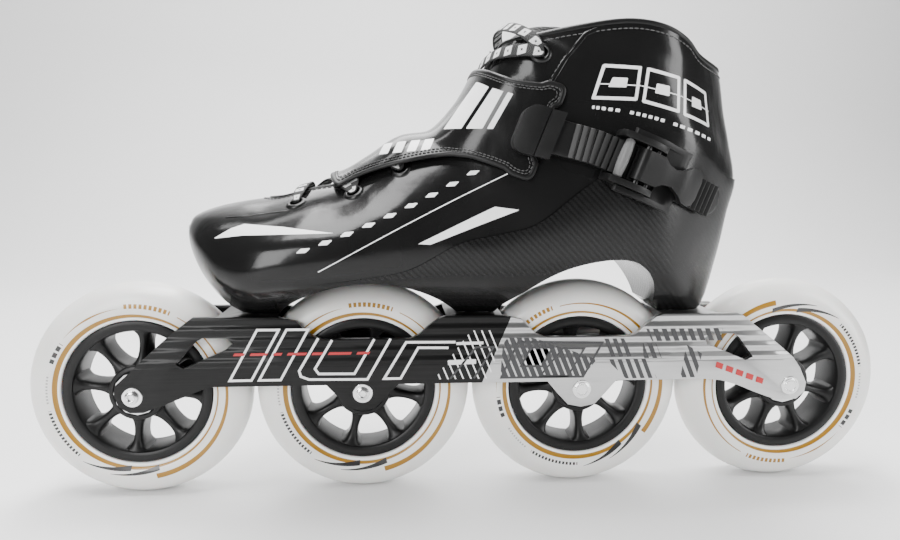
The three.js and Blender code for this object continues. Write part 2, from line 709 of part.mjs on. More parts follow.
// The wide strap over the instep: a band of the boot's surface, cut to its outline in the side view.
function addFlap() {
  const low = laceLift + laceRadius + laceRoom;
  const band = bootForm(low + flapThickness).subtract(bootForm(low));
  const edge = outline([
    [-66, 158], [-50, 165.5], [-36, 169], [-20, 171.5], [-4, 171], [10, 168], [19, 164.2], [23, 172],
    [34.6, 202], [20, 205.4], [8.8, 208], [0, 212.5], [-12, 222], [-50, 200], [-80, 176],
  ].map(([x, z]) => [lengthways(x), z]));
  // Room for the moulded strap end, which slides over the band.
  const travel = 9;
  const reach = strapEndWidth / 2 + 1 + travel * strapDrop;
  const path = arcStrip(strapEndStart - travel, ladderStart + travel, -0.7, 20, 6);
  const room = solid(dropped(solid(acrossStrap(path, -reach, reach))));
  const inStrapPlace = room.transform(strap.matrixWorld.elements);
  const cleared = band.intersect(solid(sidePlate(edge, -90, 90))).subtract(inStrapPlace);
  add('instep_strap', cleared, finishes.patent);
}

// ---- ratchet buckle -----------------------------------------------------------------------------
// Strap pieces are drawn round the axis of the strap's curve. Before the turns, -Y points out from the boot,
// X runs along the strap towards the heel and Z across its width.
const strap = new THREE.Group();
strap.position.set(lengthways(strapMiddle[0]), ladderRadius - strapReach, strapMiddle[1]);
strap.rotation.y = rad(strapTilt);
group.add(strap);
const buckle = new THREE.Group();
buckle.rotation.z = rad(buckleAngle) * (ankleRadius / ladderRadius);
strap.add(buckle);
group.updateMatrixWorld(true);

const onArc = (along, out) => {
  const angle = along / ladderRadius;
  const radius = ladderRadius + out;
  return [radius * Math.sin(angle), -radius * Math.cos(angle)];
};

// A curved strip from along0 to along1, between two heights over the strap's curve.
function arcStrip(along0, along1, low, high, steps) {
  const at = (i) => along0 + ((along1 - along0) * i) / steps;
  const inner = Array.from({ length: steps + 1 }, (_, i) => onArc(at(i), low));
  const outer = Array.from({ length: steps + 1 }, (_, i) => onArc(at(i), high)).reverse();
  return outline([...inner, ...outer]);
}

const acrossStrap = (shape, z0, z1) => new THREE.ExtrudeGeometry(
  shape, { depth: z1 - z0, bevelEnabled: false, curveSegments: 6 },
).translate(0, 0, z0);

function pinAcross(radius, along, out, halfLength, segments = 12) {
  const [x, y] = onArc(0, out);
  return new THREE.CylinderGeometry(radius, radius, 2 * halfLength, segments)
    .rotateX(Math.PI / 2).translate(x + along, y, 0);
}

// Moves the toe side of a strap piece across the strap, by more the further it is from the buckle.
function dropped(piece) {
  const geometry = toGeometry(piece);
  const places = geometry.attributes.position;
  for (let i = 0; i < places.count; i += 1) {
    const before = Math.max(0, strapDropStart - places.getX(i));
    places.setZ(i, places.getZ(i) - before * strapDrop);
  }
  return geometry;
}

// The strap with a row of slanted teeth on its outer side and a round tail.
function ladderStrap() {
  const inner = [];
  const outer = [];
  for (let a = ladderStart; a <= ladderEnd; a += toothPitch * 2) inner.push(onArc(a, 0));
  inner.push(onArc(ladderEnd, 0));
  outer.push(onArc(ladderStart, ladderThickness));
  for (let a = ladderStart + 4 * toothPitch; a < ladderEnd - 3; a += toothPitch) {
    outer.push(onArc(a, ladderThickness), onArc(a + toothPitch * 0.72, ladderThickness + toothHeight));
    outer.push(onArc(a + toothPitch * 0.98, ladderThickness));
  }
  outer.push(onArc(ladderEnd, ladderThickness));
  const half = ladderWidth / 2;
  const strip = solid(acrossStrap(outline([...inner, ...outer.reverse()]), -half, half));
  const [endX] = onArc(ladderEnd, 0);
  const [startX] = onArc(ladderStart, 0);
  const tail = new THREE.Shape();
  tail.moveTo(startX - 5, -half - 1);
  tail.lineTo(endX - half, -half - 1);
  tail.absarc(endX - half, 0, half, -Math.PI / 2, Math.PI / 2);
  tail.lineTo(startX - 5, half + 1);
  const plan = new THREE.ExtrudeGeometry(tail, { depth: pastAll, bevelEnabled: false, curveSegments: 10 });
  return strip.intersect(solid(plan.rotateX(Math.PI / 2)));
}

// The two moulded pieces that join the ladder to the instep strap.
function addStrapEnd() {
  const half = strapEndWidth / 2;
  const corner = strapEndCorner;
  const plan = new THREE.Shape();
  const [x0] = onArc(strapEndStart, 0);
  const [x1] = onArc(strapEndStep, 0);
  plan.moveTo(x1 + 2, -half);
  plan.lineTo(x1 + 2, half);
  plan.lineTo(x0 + corner, half);
  plan.absarc(x0 + corner, half - corner, corner, Math.PI / 2, Math.PI);
  plan.absarc(x0 + corner, corner - half, corner, Math.PI, 1.5 * Math.PI);
  const through = new THREE.ExtrudeGeometry(plan, { depth: pastAll, bevelEnabled: false, curveSegments: 5 });
  const low = -0.4;
  const body = solid(acrossStrap(arcStrip(strapEndStart, strapEndStep, low, strapEndHeight, 4), -half, half));
  const cap = body.intersect(solid(through.rotateX(Math.PI / 2)));
  add('strap_end_cap', dropped(cap), finishes.plastic, strap);
  const sleeveHalf = half - sleeveInset;
  const sleeve = solid(acrossStrap(
    arcStrip(strapEndStep + gap, ladderStart + sleeveOverlap, low, sleeveHeight, 4), -sleeveHalf, sleeveHalf,
  ));
  const slot = solid(acrossStrap(
    arcStrip(ladderStart - gap, ladderStart + sleeveOverlap + 2, -gap, ladderThickness + gap, 4),
    -ladderWidth / 2 - gap, ladderWidth / 2 + gap,
  ));
  add('strap_sleeve', dropped(sleeve.subtract(slot)), finishes.plastic, strap);
}

function buckleBase() {
  const outerHalf = buckleInnerWidth / 2 + wallThickness;
  const top = -gap;
  const plate = solid(acrossStrap(arcStrip(-9, 24, top - plateThickness, top, 8), -outerHalf, outerHalf));
  const arm = outline([
    onArc(-9, top - plateThickness), onArc(2, top - plateThickness), onArc(14, top - plateThickness),
    onArc(14, 4), onArc(12.6, 8.2), onArc(10, 9.6), onArc(4, 10.6), onArc(-5, 9.4), onArc(-8.4, 8.2),
    onArc(-9.4, 6),
  ]);
  const inner = buckleInnerWidth / 2;
  const arms = [[inner, outerHalf], [-outerHalf, -inner]].map(([z0, z1]) => solid(acrossStrap(arm, z0, z1)));
  const holes = [
    solid(pinAcross(pinRadius + boreClearance, ...leverPivot, 20)),
    solid(pinAcross(releasePinRadius + boreClearance, ...releasePivot, 20)),
    solid(pinAcross(barPinRadius + boreClearance, ...barPlace, 20)),
  ];
  return cut(joined(plate, ...arms), ...holes, screwHole());
}

const screwAlong = 19;
const screwRadius = 1.9;
const nutDepth = 10.5; // from the strap's curve down to the nut, inside the boot

function screwBar(radius, out0, out1, segments = 12) {
  const angle = screwAlong / ladderRadius;
  const bar = new THREE.CylinderGeometry(radius, radius, out1 - out0, segments);
  return bar.translate(0, -(ladderRadius + (out0 + out1) / 2), 0).rotateZ(angle);
}

const screwHole = () => joined(
  solid(screwBar(screwRadius + gap, -30, 5)),
  solid(screwBar(screwHeadRadius + gap, -screwHeadHeight - gap - 0.1, 5)),
);

// The same hole through the boot's wall, in the boot's own frame.
function buckleHole() {
  buckle.updateWorldMatrix(true, false);
  return solid(screwBar(screwRadius + gap, -14, 5).applyMatrix4(buckle.matrixWorld));
}

// A dog-bone lever: a boss on its pivot, a narrow waist and a wide finger end.
function lever() {
  const [pivotX, out] = leverPivot;
  const boss = solid(pinAcross(leverBossRadius, pivotX, out, 7, 16));
  const low = out + 0.5;
  const side = outline([
    onArc(pivotX, low), onArc(13, low + 0.6), onArc(24, low + 0.6), onArc(35, low - 1.8), onArc(36.4, low - 1.2),
    onArc(36, low + 0.8), onArc(25, low + leverThickness + 0.8), onArc(13, low + leverThickness + 0.6),
    onArc(pivotX, out + leverBossRadius),
  ]);
  const blank = solid(acrossStrap(side, -9, 9));
  const half = [
    [pivotX - 6, 7], [12, 7], [15.5, 4.6], [20, 3.9], [24, 5.4], [28.5, 8.4], [33, 8.8], [36, 7], [37, 4],
  ];
  const plan = outline([...half, ...half.map(([a, b]) => [a, -b]).reverse()]);
  const through = new THREE.ExtrudeGeometry(plan, { depth: pastAll, bevelEnabled: false }).rotateX(Math.PI / 2);
  const bore = solid(pinAcross(pinRadius + boreClearance, ...leverPivot, 20));
  const body = blank.intersect(solid(through)).add(boss);
  return body.subtract(bore);
}

// The release: two finger arms beside the buckle, joined by a plate with the pawl under the lever.
function release() {
  const outerHalf = buckleInnerWidth / 2 + wallThickness;
  const [pivotX, out] = releasePivot;
  const arm = outline([
    onArc(-3, 3.4), onArc(4, 2.6), onArc(12, 3.2), onArc(27, 3.7), onArc(27.4, 5), onArc(18, 5.6),
    onArc(12, 7), onArc(4, 6.4), onArc(-3, 5.6), onArc(-4, 4.6),
  ]);
  const inner = outerHalf + gap;
  const outer = inner + releaseArm;
  const sides = [[inner, outer], [-outer, -inner]].map(([z0, z1]) => solid(acrossStrap(arm, z0, z1)));
  const plate = solid(acrossStrap(arcStrip(14.6, 27, 3.7, 5.1, 5), -inner - 1, inner + 1));
  const bore = solid(pinAcross(releasePinRadius + boreClearance, pivotX, out, 20));
  return cut(joined(...sides, plate), bore);
}

function strapBar() {
  const inner = buckleInnerWidth / 2;
  const end = inner + wallThickness;
  const [x, y] = onArc(0, barPlace[1]);
  const profile = [
    [0, -end], [barPinRadius, -end], [barPinRadius, -inner + gap], [1.9, -inner + gap], [2.5, -3], [2.5, 3],
    [1.9, inner - gap], [barPinRadius, inner - gap], [barPinRadius, end], [0, end],
  ];
  return turned(profile, 10).rotateX(Math.PI / 2).translate(x + barPlace[0], y, 0);
}

function releaseSpring() {
  const turns = 4;
  const coil = 1.75;
  const wire = 0.3;
  const points = [];
  const perTurn = 9;
  const [x, y] = onArc(0, releasePivot[1]);
  for (let i = 0; i <= turns * perTurn; i++) {
    const angle = (2 * Math.PI * i) / perTurn;
    const along = ((i / (turns * perTurn)) - 0.5) * 9;
    const centre = x + releasePivot[0];
    points.push(new THREE.Vector3(centre + coil * Math.cos(angle), y + coil * Math.sin(angle), along));
  }
  const section = new THREE.Shape();
  section.absarc(0, 0, wire, 0, 2 * Math.PI);
  const path = new THREE.CatmullRomCurve3(points);
  return new THREE.ExtrudeGeometry(section, {
    steps: turns * perTurn, bevelEnabled: false, extrudePath: path, curveSegments: 2,
  });
}

function addBuckle() {
  add('ladder_strap', dropped(ladderStrap()), finishes.plastic, strap);
  addStrapEnd();
  add('buckle_base', buckleBase(), finishes.plastic, buckle);
  add('buckle_lever', lever(), finishes.plastic, buckle);
  add('buckle_release', release(), finishes.plastic, buckle);
  const outerHalf = buckleInnerWidth / 2 + wallThickness;
  add('lever_pin', pinAcross(pinRadius, ...leverPivot, outerHalf), finishes.steel, buckle);
  const pinHalf = outerHalf + gap + releaseArm;
  add('release_pin', pinAcross(releasePinRadius, ...releasePivot, pinHalf), finishes.steel, buckle);
  add('strap_bar', strapBar(), finishes.greyPlastic, buckle);
  add('release_spring', releaseSpring(), finishes.steel, buckle);
  const boot = bootForm(gap);
  buckle.updateWorldMatrix(true, false);
  const toBuckle = buckle.matrixWorld.clone().invert();
  const block = solid(acrossStrap(arcStrip(13, 25, -14, -2 * gap - plateThickness, 4), -8, 8));
  const local = boot.transform(toBuckle.elements);
  add('buckle_mount', cut(block, local, solid(screwBar(screwRadius + gap, -30, 5))), finishes.plastic, buckle);
  const head = solid(screwBar(screwHeadRadius, -gap - screwHeadHeight, -gap));
  const shaft = solid(screwBar(screwRadius, -nutDepth - nutHeight + 0.5, -1));
  add('buckle_screw', head.add(shaft), finishes.steel, buckle);
  const nutBlank = solid(screwBar(nutRadius, -nutDepth - nutHeight, -nutDepth, 6));
  const nut = nutBlank.subtract(solid(screwBar(screwRadius + gap, -30, 5)));
  add('buckle_nut', nut, finishes.steel, buckle);
}

addWheels();
addFrame();
addMountingBolts();
addBoot();
addEyelets();
addLace();
addFlap();
addBuckle();

export default group;
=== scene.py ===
import math
import bmesh
import bpy
import numpy as np
from mathutils import Matrix, Vector
from mathutils.bvhtree import BVHTree


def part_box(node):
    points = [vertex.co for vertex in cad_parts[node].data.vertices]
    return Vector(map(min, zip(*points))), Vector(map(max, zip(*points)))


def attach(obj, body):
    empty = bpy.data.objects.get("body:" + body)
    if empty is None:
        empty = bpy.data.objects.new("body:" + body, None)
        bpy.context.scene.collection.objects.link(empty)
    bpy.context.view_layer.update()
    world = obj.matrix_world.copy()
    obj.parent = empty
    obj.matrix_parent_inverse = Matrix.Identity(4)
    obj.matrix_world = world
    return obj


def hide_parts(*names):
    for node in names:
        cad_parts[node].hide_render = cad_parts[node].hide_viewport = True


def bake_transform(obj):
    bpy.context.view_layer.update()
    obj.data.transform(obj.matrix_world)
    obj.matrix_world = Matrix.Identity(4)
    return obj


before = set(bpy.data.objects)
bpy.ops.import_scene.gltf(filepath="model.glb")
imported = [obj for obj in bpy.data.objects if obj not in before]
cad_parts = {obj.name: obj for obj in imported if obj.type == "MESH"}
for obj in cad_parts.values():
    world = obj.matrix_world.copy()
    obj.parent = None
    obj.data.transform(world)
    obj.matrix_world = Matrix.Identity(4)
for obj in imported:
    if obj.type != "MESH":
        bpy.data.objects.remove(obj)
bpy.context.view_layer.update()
mm = 0.001
scene = bpy.context.scene


# Camera
cameraValues = {
    "place": (-38.66, -345.42, 163.33),
    "yaw": 4.561,
    "pitch": 7.961,
    "roll": 0.4,
    "lens": 26.88,
    "sensor": 36,
}


def makeCamera(values):
    yaw, pitch, roll = (math.radians(values[key]) for key in ("yaw", "pitch", "roll"))
    look = Vector((math.sin(yaw) * math.cos(pitch), math.cos(yaw) * math.cos(pitch), -math.sin(pitch)))
    level = Vector((math.cos(yaw), -math.sin(yaw), 0))
    upright = level.cross(look)
    right = math.cos(roll) * level + math.sin(roll) * upright
    upward = math.cos(roll) * upright - math.sin(roll) * level
    data = bpy.data.cameras.new("camera")
    data.lens = values["lens"]
    data.sensor_width = values["sensor"]
    data.clip_start = 0.01
    camera = bpy.data.objects.new("camera", data)
    turn = Matrix((right, upward, -look)).transposed().to_4x4()
    camera.matrix_world = Matrix.Translation(Vector(values["place"]) * mm) @ turn
    scene.collection.objects.link(camera)
    scene.camera = camera


makeCamera(cameraValues)
print("camera placed")


# Shader maths: a Value wraps a socket, a Finish wraps a material
class Value:
    def __init__(self, finish, socket):
        self.finish = finish
        self.socket = socket

    def maths(self, operation, *others):
        inputs = dict(enumerate((self,) + others))
        return self.finish.add("ShaderNodeMath", {"operation": operation}, inputs)

    def __add__(self, other):
        return self.maths("ADD", other)

    __radd__ = __add__

    def __sub__(self, other):
        return self.maths("SUBTRACT", other)

    def __rsub__(self, other):
        return self.finish.add("ShaderNodeMath", {"operation": "SUBTRACT"}, {0: other, 1: self})

    def __mul__(self, other):
        return self.maths("MULTIPLY", other)

    __rmul__ = __mul__

    def __truediv__(self, other):
        return self.maths("DIVIDE", other)

    def __gt__(self, other):
        return self.maths("GREATER_THAN", other)

    def __lt__(self, other):
        return self.maths("LESS_THAN", other)

    def limited(self):
        return self.finish.add("ShaderNodeClamp", {}, {"Value": self, "Min": 0.0, "Max": 1.0})


class Finish:
    def __init__(self, name, **constants):
        self.material = bpy.data.materials.new(name)
        self.material.use_nodes = True
        self.tree = self.material.node_tree
        self.shader = next(n for n in self.tree.nodes if n.type == "BSDF_PRINCIPLED")
        for key, value in constants.items():
            self.shader.inputs[key.replace("_", " ")].default_value = value

    def add(self, kind, settings, inputs, output=0):
        node = self.tree.nodes.new(kind)
        for key, value in settings.items():
            setattr(node, key, value)
        for key, value in inputs.items():
            if isinstance(value, Value):
                self.tree.links.new(value.socket, node.inputs[key])
            else:
                node.inputs[key].default_value = value
        return Value(self, node.outputs[output])

    def feed(self, name, value):
        self.tree.links.new(value.socket, self.shader.inputs[name])

    def axes(self, source="Object"):
        coords = self.add("ShaderNodeTexCoord", {}, {}, source)
        parts = [self.add("ShaderNodeSeparateXYZ", {}, {0: coords}, i) for i in range(3)]
        return [part * 1000 for part in parts] if source == "Object" else parts

    def noise(self, scale, detail=3.0, stretch=(1, 1, 1), roughness=0.55):
        coords = self.add("ShaderNodeTexCoord", {}, {}, "Object")
        mapped = self.add("ShaderNodeMapping", {}, {"Vector": coords, "Scale": stretch})
        inputs = {"Vector": mapped, "Scale": scale, "Detail": detail, "Roughness": roughness}
        return self.add("ShaderNodeTexNoise", {}, inputs, 0)

    def between(self, value, low, high):
        inputs = {"Value": value, "To Min": low, "To Max": high}
        return self.add("ShaderNodeMapRange", {}, inputs)

    def mix(self, factor, first, second):
        settings = {"data_type": "RGBA"}
        return self.add("ShaderNodeMix", settings, {0: factor, 6: first, 7: second}, 2)

    def bump(self, height, distance, strength=1.0, under=None):
        inputs = {"Height": height, "Distance": distance, "Strength": strength}
        if under:
            inputs["Normal"] = under
        return self.add("ShaderNodeBump", {}, inputs)


def grey(level):
    return (level, level, level, 1)


def patentFinish():
    finish = Finish("patent_gloss", Specular_IOR_Level=0.17, Coat_Weight=0.12, Coat_Roughness=0.06)
    broad = finish.noise(22, 2)
    fine = finish.noise(420, 3)
    finish.feed("Base Color", finish.mix(broad, grey(0.0035), grey(0.009)))
    finish.feed("Roughness", finish.between(finish.noise(60, 4), 0.12, 0.26))
    wrinkles = finish.noise(75, 2, (1, 1, 0.5))
    soft = finish.bump(broad, 0.004, 0.5)
    creased = finish.bump(wrinkles, 0.0008, 0.35, soft)
    finish.feed("Normal", finish.bump(fine, 0.00008, 0.5, creased))
    return finish.material


def carbonFinish():
    finish = Finish("carbon_twill", Specular_IOR_Level=0.16, Coat_Weight=0.12, Coat_Roughness=0.1)
    x, y, z = finish.axes()
    nx, ny, nz = finish.axes("Normal")
    side = ny.maths("ABSOLUTE") > 0.55
    tow = 0.8  # width of one bundle of fibres, mm
    first = (x * side + y * (1 - side)) / tow
    second = z / tow
    step = (first.maths("FLOOR") + second.maths("FLOOR")) / 4
    over = step.maths("FRACT") < 0.5
    warp = (first * (2 * math.pi)).maths("SINE") * over
    weft = (second * (2 * math.pi)).maths("SINE") * (1 - over)
    threads = warp + weft
    height = threads * 0.3 + over * 0.5
    finish.feed("Base Color", finish.mix(over, grey(0.003), grey(0.009)))
    finish.feed("Roughness", finish.between(over, 0.26, 0.2))
    soft = finish.bump(finish.noise(30, 2), 0.0015, 0.4)
    finish.feed("Normal", finish.bump(height, 0.00005, 0.5, soft))
    return finish.material


def clothFinish(name, level, cell=0.9, sheen=0.3):
    finish = Finish(name, Sheen_Weight=sheen, Sheen_Roughness=0.5)
    x, y, z = finish.axes()
    weave = ((x + z) * (math.pi / cell)).maths("SINE") * ((y + x - z) * (math.pi / cell)).maths("SINE")
    blotch = finish.noise(45, 4)
    finish.feed("Base Color", finish.mix(blotch, grey(level), grey(level * 2)))
    finish.feed("Roughness", finish.between(weave, 0.95, 0.75))
    finish.feed("Normal", finish.bump(weave, 0.00012, 0.9))
    return finish.material


def nylonFinish(name, level, roughness=0.4):
    finish = Finish(name, Specular_IOR_Level=0.2)
    grain = finish.noise(1600, 3)
    wear = finish.noise(90, 5)
    finish.feed("Base Color", finish.mix(wear, grey(level), grey(level * 1.6)))
    finish.feed("Roughness", finish.between(wear, roughness - 0.06, roughness + 0.1))
    finish.feed("Normal", finish.bump(grain, 0.00005, 0.5))
    return finish.material


def metalFinish(name, level, roughness=0.28):
    finish = Finish(name, Metallic=1.0)
    brushed = finish.noise(500, 3, (0.2, 1, 3))
    finish.feed("Base Color", finish.mix(brushed, grey(level * 0.82), grey(level)))
    finish.feed("Roughness", finish.between(brushed, roughness - 0.06, roughness + 0.12))
    finish.feed("Normal", finish.bump(brushed, 0.00002, 0.4))
    return finish.material


def inkFinish(name, colour):
    finish = Finish(name)
    patchy = finish.noise(260, 4)
    dull = tuple(c * 0.86 for c in colour)
    finish.feed("Base Color", finish.mix(patchy, dull + (1,), colour + (1,)))
    finish.feed("Roughness", finish.between(patchy, 0.3, 0.5))
    return finish.material


def railFinish():
    finish = Finish("rail_anodised", Specular_IOR_Level=0.3)
    x, y, z = finish.axes()
    nx, ny, nz = finish.axes("Normal")
    silver = x > (z - 60) * 0.42 + 4.5
    streaks = finish.noise(700, 3, (0.06, 1, 1.6))
    dark = finish.mix(streaks, grey(0.006), grey(0.016))
    light = finish.mix(streaks, grey(0.42), grey(0.5))
    finish.feed("Base Color", finish.mix(silver, dark, light))
    finish.feed("Metallic", finish.between(silver, 0.6, 1.0))
    finish.feed("Roughness", finish.between(streaks, 0.24, 0.4))
    flutePitch = 5.4  # mm between two grooves along the rail
    upper = ((z - 69) / 2).limited() * (ny.maths("ABSOLUTE") > 0.8)
    wave = (z * (2 * math.pi / flutePitch)).maths("SINE") * upper
    fluted = finish.bump(wave, 0.0006, 0.8)
    finish.feed("Normal", finish.bump(streaks, 0.00002, 0.3, fluted))
    return finish.material


def band(value, low, high, blur=0.12):
    return ((value - low) / blur).limited() * ((high - value) / blur).limited()


def tyreFinish(index, centre, turn):
    finish = Finish(f"tyre_cast_{index}", Subsurface_Weight=0.12, Subsurface_Scale=0.004, Coat_Weight=0.15)
    x, y, z = finish.axes()
    dx = x - centre[0]
    dz = z - centre[1]
    radius = (dx * dx + dz * dz).maths("SQRT")
    angle = (dz.maths("ARCTAN2", dx) / (2 * math.pi) - turn / 360).maths("FRACT") * 360
    clock = (61 / 360 - angle / 360).maths("FRACT") * 360  # degrees clockwise from the outer ring's start

    lean = ((angle - 172) * (math.pi / 180)).maths("COSINE") * 0.35 + 0.72
    gold = band((radius - 39.3) / lean, -1.15, 1.15, 0.1)
    wedge = clock / 141 * 1.25 + 0.2
    gold = gold + band((radius - 44) / wedge, -1, 1, 0.1) * (clock < 141)
    thin = 1 - ((angle - 119) / 21).maths("ABSOLUTE").limited()
    gold = gold + (((radius - 43.5).maths("ABSOLUTE") < thin * 0.45)) * band(angle, 98, 140)
    gold = gold + band(radius, 43, 45.4) * band(angle, 66, 96) * ((angle / 3.1).maths("FRACT") < 0.62)

    def fin(start, end, outer, inner):
        share = (angle - start) / (end - start)
        middle = outer - share * (outer - inner)
        return ((radius - middle).maths("ABSOLUTE") < share * 1.25 + 0.1) * band(angle, start, end)

    black = fin(231, 263, 44.4, 39.4) + fin(250, 283, 44.2, 40)
    black = black + band(radius, 41.9, 43.6) * band(angle, 191, 227) * ((angle / 2.6).maths("FRACT") < 0.6)
    black = black + band(radius, 41.6, 43.8) * band(angle, 143, 158) * ((angle / 5).maths("FRACT") < 0.7)
    pale = band(radius, 42.2, 43.3) * band(angle, 166, 186) * ((angle / 2.2).maths("FRACT") < 0.5)

    cloudy = finish.noise(55, 3)
    cast = finish.mix(cloudy, (0.66, 0.655, 0.63, 1), (0.76, 0.755, 0.735, 1))
    cast = finish.mix(band(radius, 36, 38.1), cast, (0.86, 0.855, 0.84, 1))
    printed = finish.mix(gold.limited(), cast, (0.27, 0.13, 0.0, 1))
    printed = finish.mix(pale.limited() * 0.7, printed, grey(0.12))
    finish.feed("Base Color", finish.mix(black.limited(), printed, grey(0.01)))
    finish.feed("Roughness", finish.between(cloudy, 0.3, 0.42))
    finish.feed("Normal", finish.bump(finish.noise(900, 2), 0.00004, 0.4))
    return finish.material


def laceFinish():
    finish = Finish("lace_woven")
    coords = finish.add("ShaderNodeUVMap", {"uv_map": "along"}, {})
    along = finish.add("ShaderNodeSeparateXYZ", {}, {0: coords}, 0) * 1000
    across = finish.add("ShaderNodeSeparateXYZ", {}, {0: coords}, 1) * 1000
    bias = (across - 3).maths("ABSOLUTE")
    herring = ((along + bias) * (2 * math.pi / 1.1)).maths("SINE")
    step = (along / 7.5).maths("FRACT")
    block = band(step, 0.14, 0.72, 0.04) * band(across + (step - 0.4) * 1.5, 1.2, 4.8, 0.2)
    hole = band(step, 0.34, 0.5, 0.04) * band(across, 2.5, 3.5, 0.2)
    mark = (block - hole).limited()
    black = finish.mix(herring.limited(), grey(0.012), grey(0.03))
    finish.feed("Base Color", finish.mix(mark, black, grey(0.62)))
    finish.feed("Roughness", finish.between(herring, 0.9, 0.7))
    finish.feed("Normal", finish.bump(herring, 0.00016, 0.8))
    return finish.material


wheelTurns = (0, 4, 44, 180)  # degrees each tyre's print has rolled
wheelPlaces = [tuple((np.array(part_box(f"tyre_{i}")).mean(axis=0) / mm)[[0, 2]]) for i in (1, 2, 3, 4)]
finishes = {
    "patent": patentFinish(),
    "carbon": carbonFinish(),
    "lining": clothFinish("lining_cloth", 0.009),
    "binding": nylonFinish("binding_leather", 0.005, 0.34),
    "lace": laceFinish(),
    "nylon": nylonFinish("nylon_moulded", 0.0045, 0.36),
    "hub": nylonFinish("hub_moulded", 0.006, 0.34),
    "roller": nylonFinish("roller_grey", 0.09, 0.32),
    "steel": metalFinish("steel_plain", 0.62),
    "axle": metalFinish("axle_bright", 0.8, 0.2),
    "eyelet": metalFinish("eyelet_black", 0.04, 0.32),
    "rail": railFinish(),
    "white": inkFinish("ink_white", (0.86, 0.86, 0.86)),
    "dark": inkFinish("ink_dark", (0.03, 0.03, 0.032)),
    "red": inkFinish("ink_red", (0.42, 0.012, 0.016)),
    "thread": clothFinish("thread_black", 0.035, 0.4),
}
print("finishes ready")


# Meshes
def makePiece(name, points, faces, material, sharp=35):
    mesh = bpy.data.meshes.new(name)
    corners = (np.asarray(points, float)[:, :3] * mm).tolist()
    mesh.from_pydata(corners, [], [tuple(int(k) for k in face) for face in faces])
    mesh.validate()
    mesh.materials.append(material)
    mesh.polygons.foreach_set("use_smooth", [True] * len(mesh.polygons))
    mesh.set_sharp_from_angle(angle=math.radians(sharp))
    piece = bpy.data.objects.new(name, mesh)
    scene.collection.objects.link(piece)
    return piece


def settle(piece, sharp=35):
    # swaps the piece's mesh for its evaluated one
    depsgraph = bpy.context.evaluated_depsgraph_get()
    mesh = bpy.data.meshes.new_from_object(piece.evaluated_get(depsgraph))
    piece.modifiers.clear()
    piece.data = mesh
    mesh.polygons.foreach_set("use_smooth", [True] * len(mesh.polygons))
    mesh.set_sharp_from_angle(angle=math.radians(sharp))
    return piece


def bevelled(piece, width, segments=3, angle=30, sharp=40):
    bevel = piece.modifiers.new("bevel", "BEVEL")
    bevel.width = width * mm
    bevel.segments = segments
    bevel.limit_method = "ANGLE"
    bevel.angle_limit = math.radians(angle)
    return settle(piece, sharp)


def fromNode(node, name, material, width, segments=3):
    # a copy of a CAD node's mesh with its edges rounded
    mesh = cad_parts[node].data.copy()
    work = bmesh.new()
    work.from_mesh(mesh)
    bmesh.ops.remove_doubles(work, verts=work.verts, dist=2e-6)
    bmesh.ops.dissolve_limit(work, angle_limit=math.radians(2), verts=work.verts, edges=work.edges)
    work.to_mesh(mesh)
    work.free()
    mesh.materials.clear()
    mesh.materials.append(material)
    piece = bpy.data.objects.new(name, mesh)
    scene.collection.objects.link(piece)
    return bevelled(piece, width, segments)


def joinParts(*parts):
    # several (points, faces) pairs as one
    points, faces, start = [], [], 0
    for somePoints, someFaces in parts:
        points += [tuple(p) for p in np.asarray(somePoints)[:, :3]]
        faces += [tuple(k + start for k in face) for face in someFaces]
        start += len(somePoints)
    return points, faces


def lathe(profile, centre, segments=96):
    # a closed profile of (radius, y) turned round the Y axis at centre (x, z)
    rings, count = [], len(profile)
    for i in range(segments):
        angle = 2 * math.pi * i / segments
        rings += [(centre[0] + r * math.cos(angle), y, centre[1] + r * math.sin(angle)) for r, y in profile]
    faces = []
    for i in range(segments):
        for j in range(count):
            a, b = i * count + j, i * count + (j + 1) % count
            c, d = (i + 1) % segments * count + (j + 1) % count, (i + 1) % segments * count + j
            faces.append((a, b, c, d))
    return rings, faces


def facedOut(points, faces):
    # the same faces, turned over if they enclose a negative volume
    corners = np.asarray(points, float)[:, :3]
    volume = 0.0
    for face in faces:
        for k in range(1, len(face) - 1):
            volume += np.dot(corners[face[0]], np.cross(corners[face[k]], corners[face[k + 1]]))
    return faces if volume > 0 else [tuple(reversed(face)) for face in faces]


def loft(rings, closedEnds=True):
    # a closed skin through rings of the same number of points
    count = len(rings[0])
    points = [tuple(p) for ring in rings for p in ring]
    faces = []
    for i in range(len(rings) - 1):
        for j in range(count):
            k = (j + 1) % count
            faces.append((i * count + j, i * count + k, (i + 1) * count + k, (i + 1) * count + j))
    if closedEnds:
        faces.append(tuple(reversed(range(count))))
        faces.append(tuple((len(rings) - 1) * count + j for j in range(count)))
    return points, facedOut(points, faces)


def resampled(path, spacing, closed=False):
    path = np.asarray(path, float)
    if closed:
        path = np.vstack([path, path[:1]])
    lengths = np.r_[0, np.cumsum(np.linalg.norm(np.diff(path, axis=0), axis=1))]
    count = max(3, int(round(lengths[-1] / spacing)))
    marks = np.linspace(0, lengths[-1], count + 1)[: count if closed else count + 1]
    return np.stack([np.interp(marks, lengths, path[:, k]) for k in range(path.shape[1])], axis=1)


def smoothed(path, rounds, closed=False):
    path = np.asarray(path, float).copy()
    for _ in range(rounds):
        around = (np.roll(path, 1, axis=0) + np.roll(path, -1, axis=0)) / 2
        if not closed:
            around[0], around[-1] = path[0], path[-1]
        path = (path + around) / 2
    return path


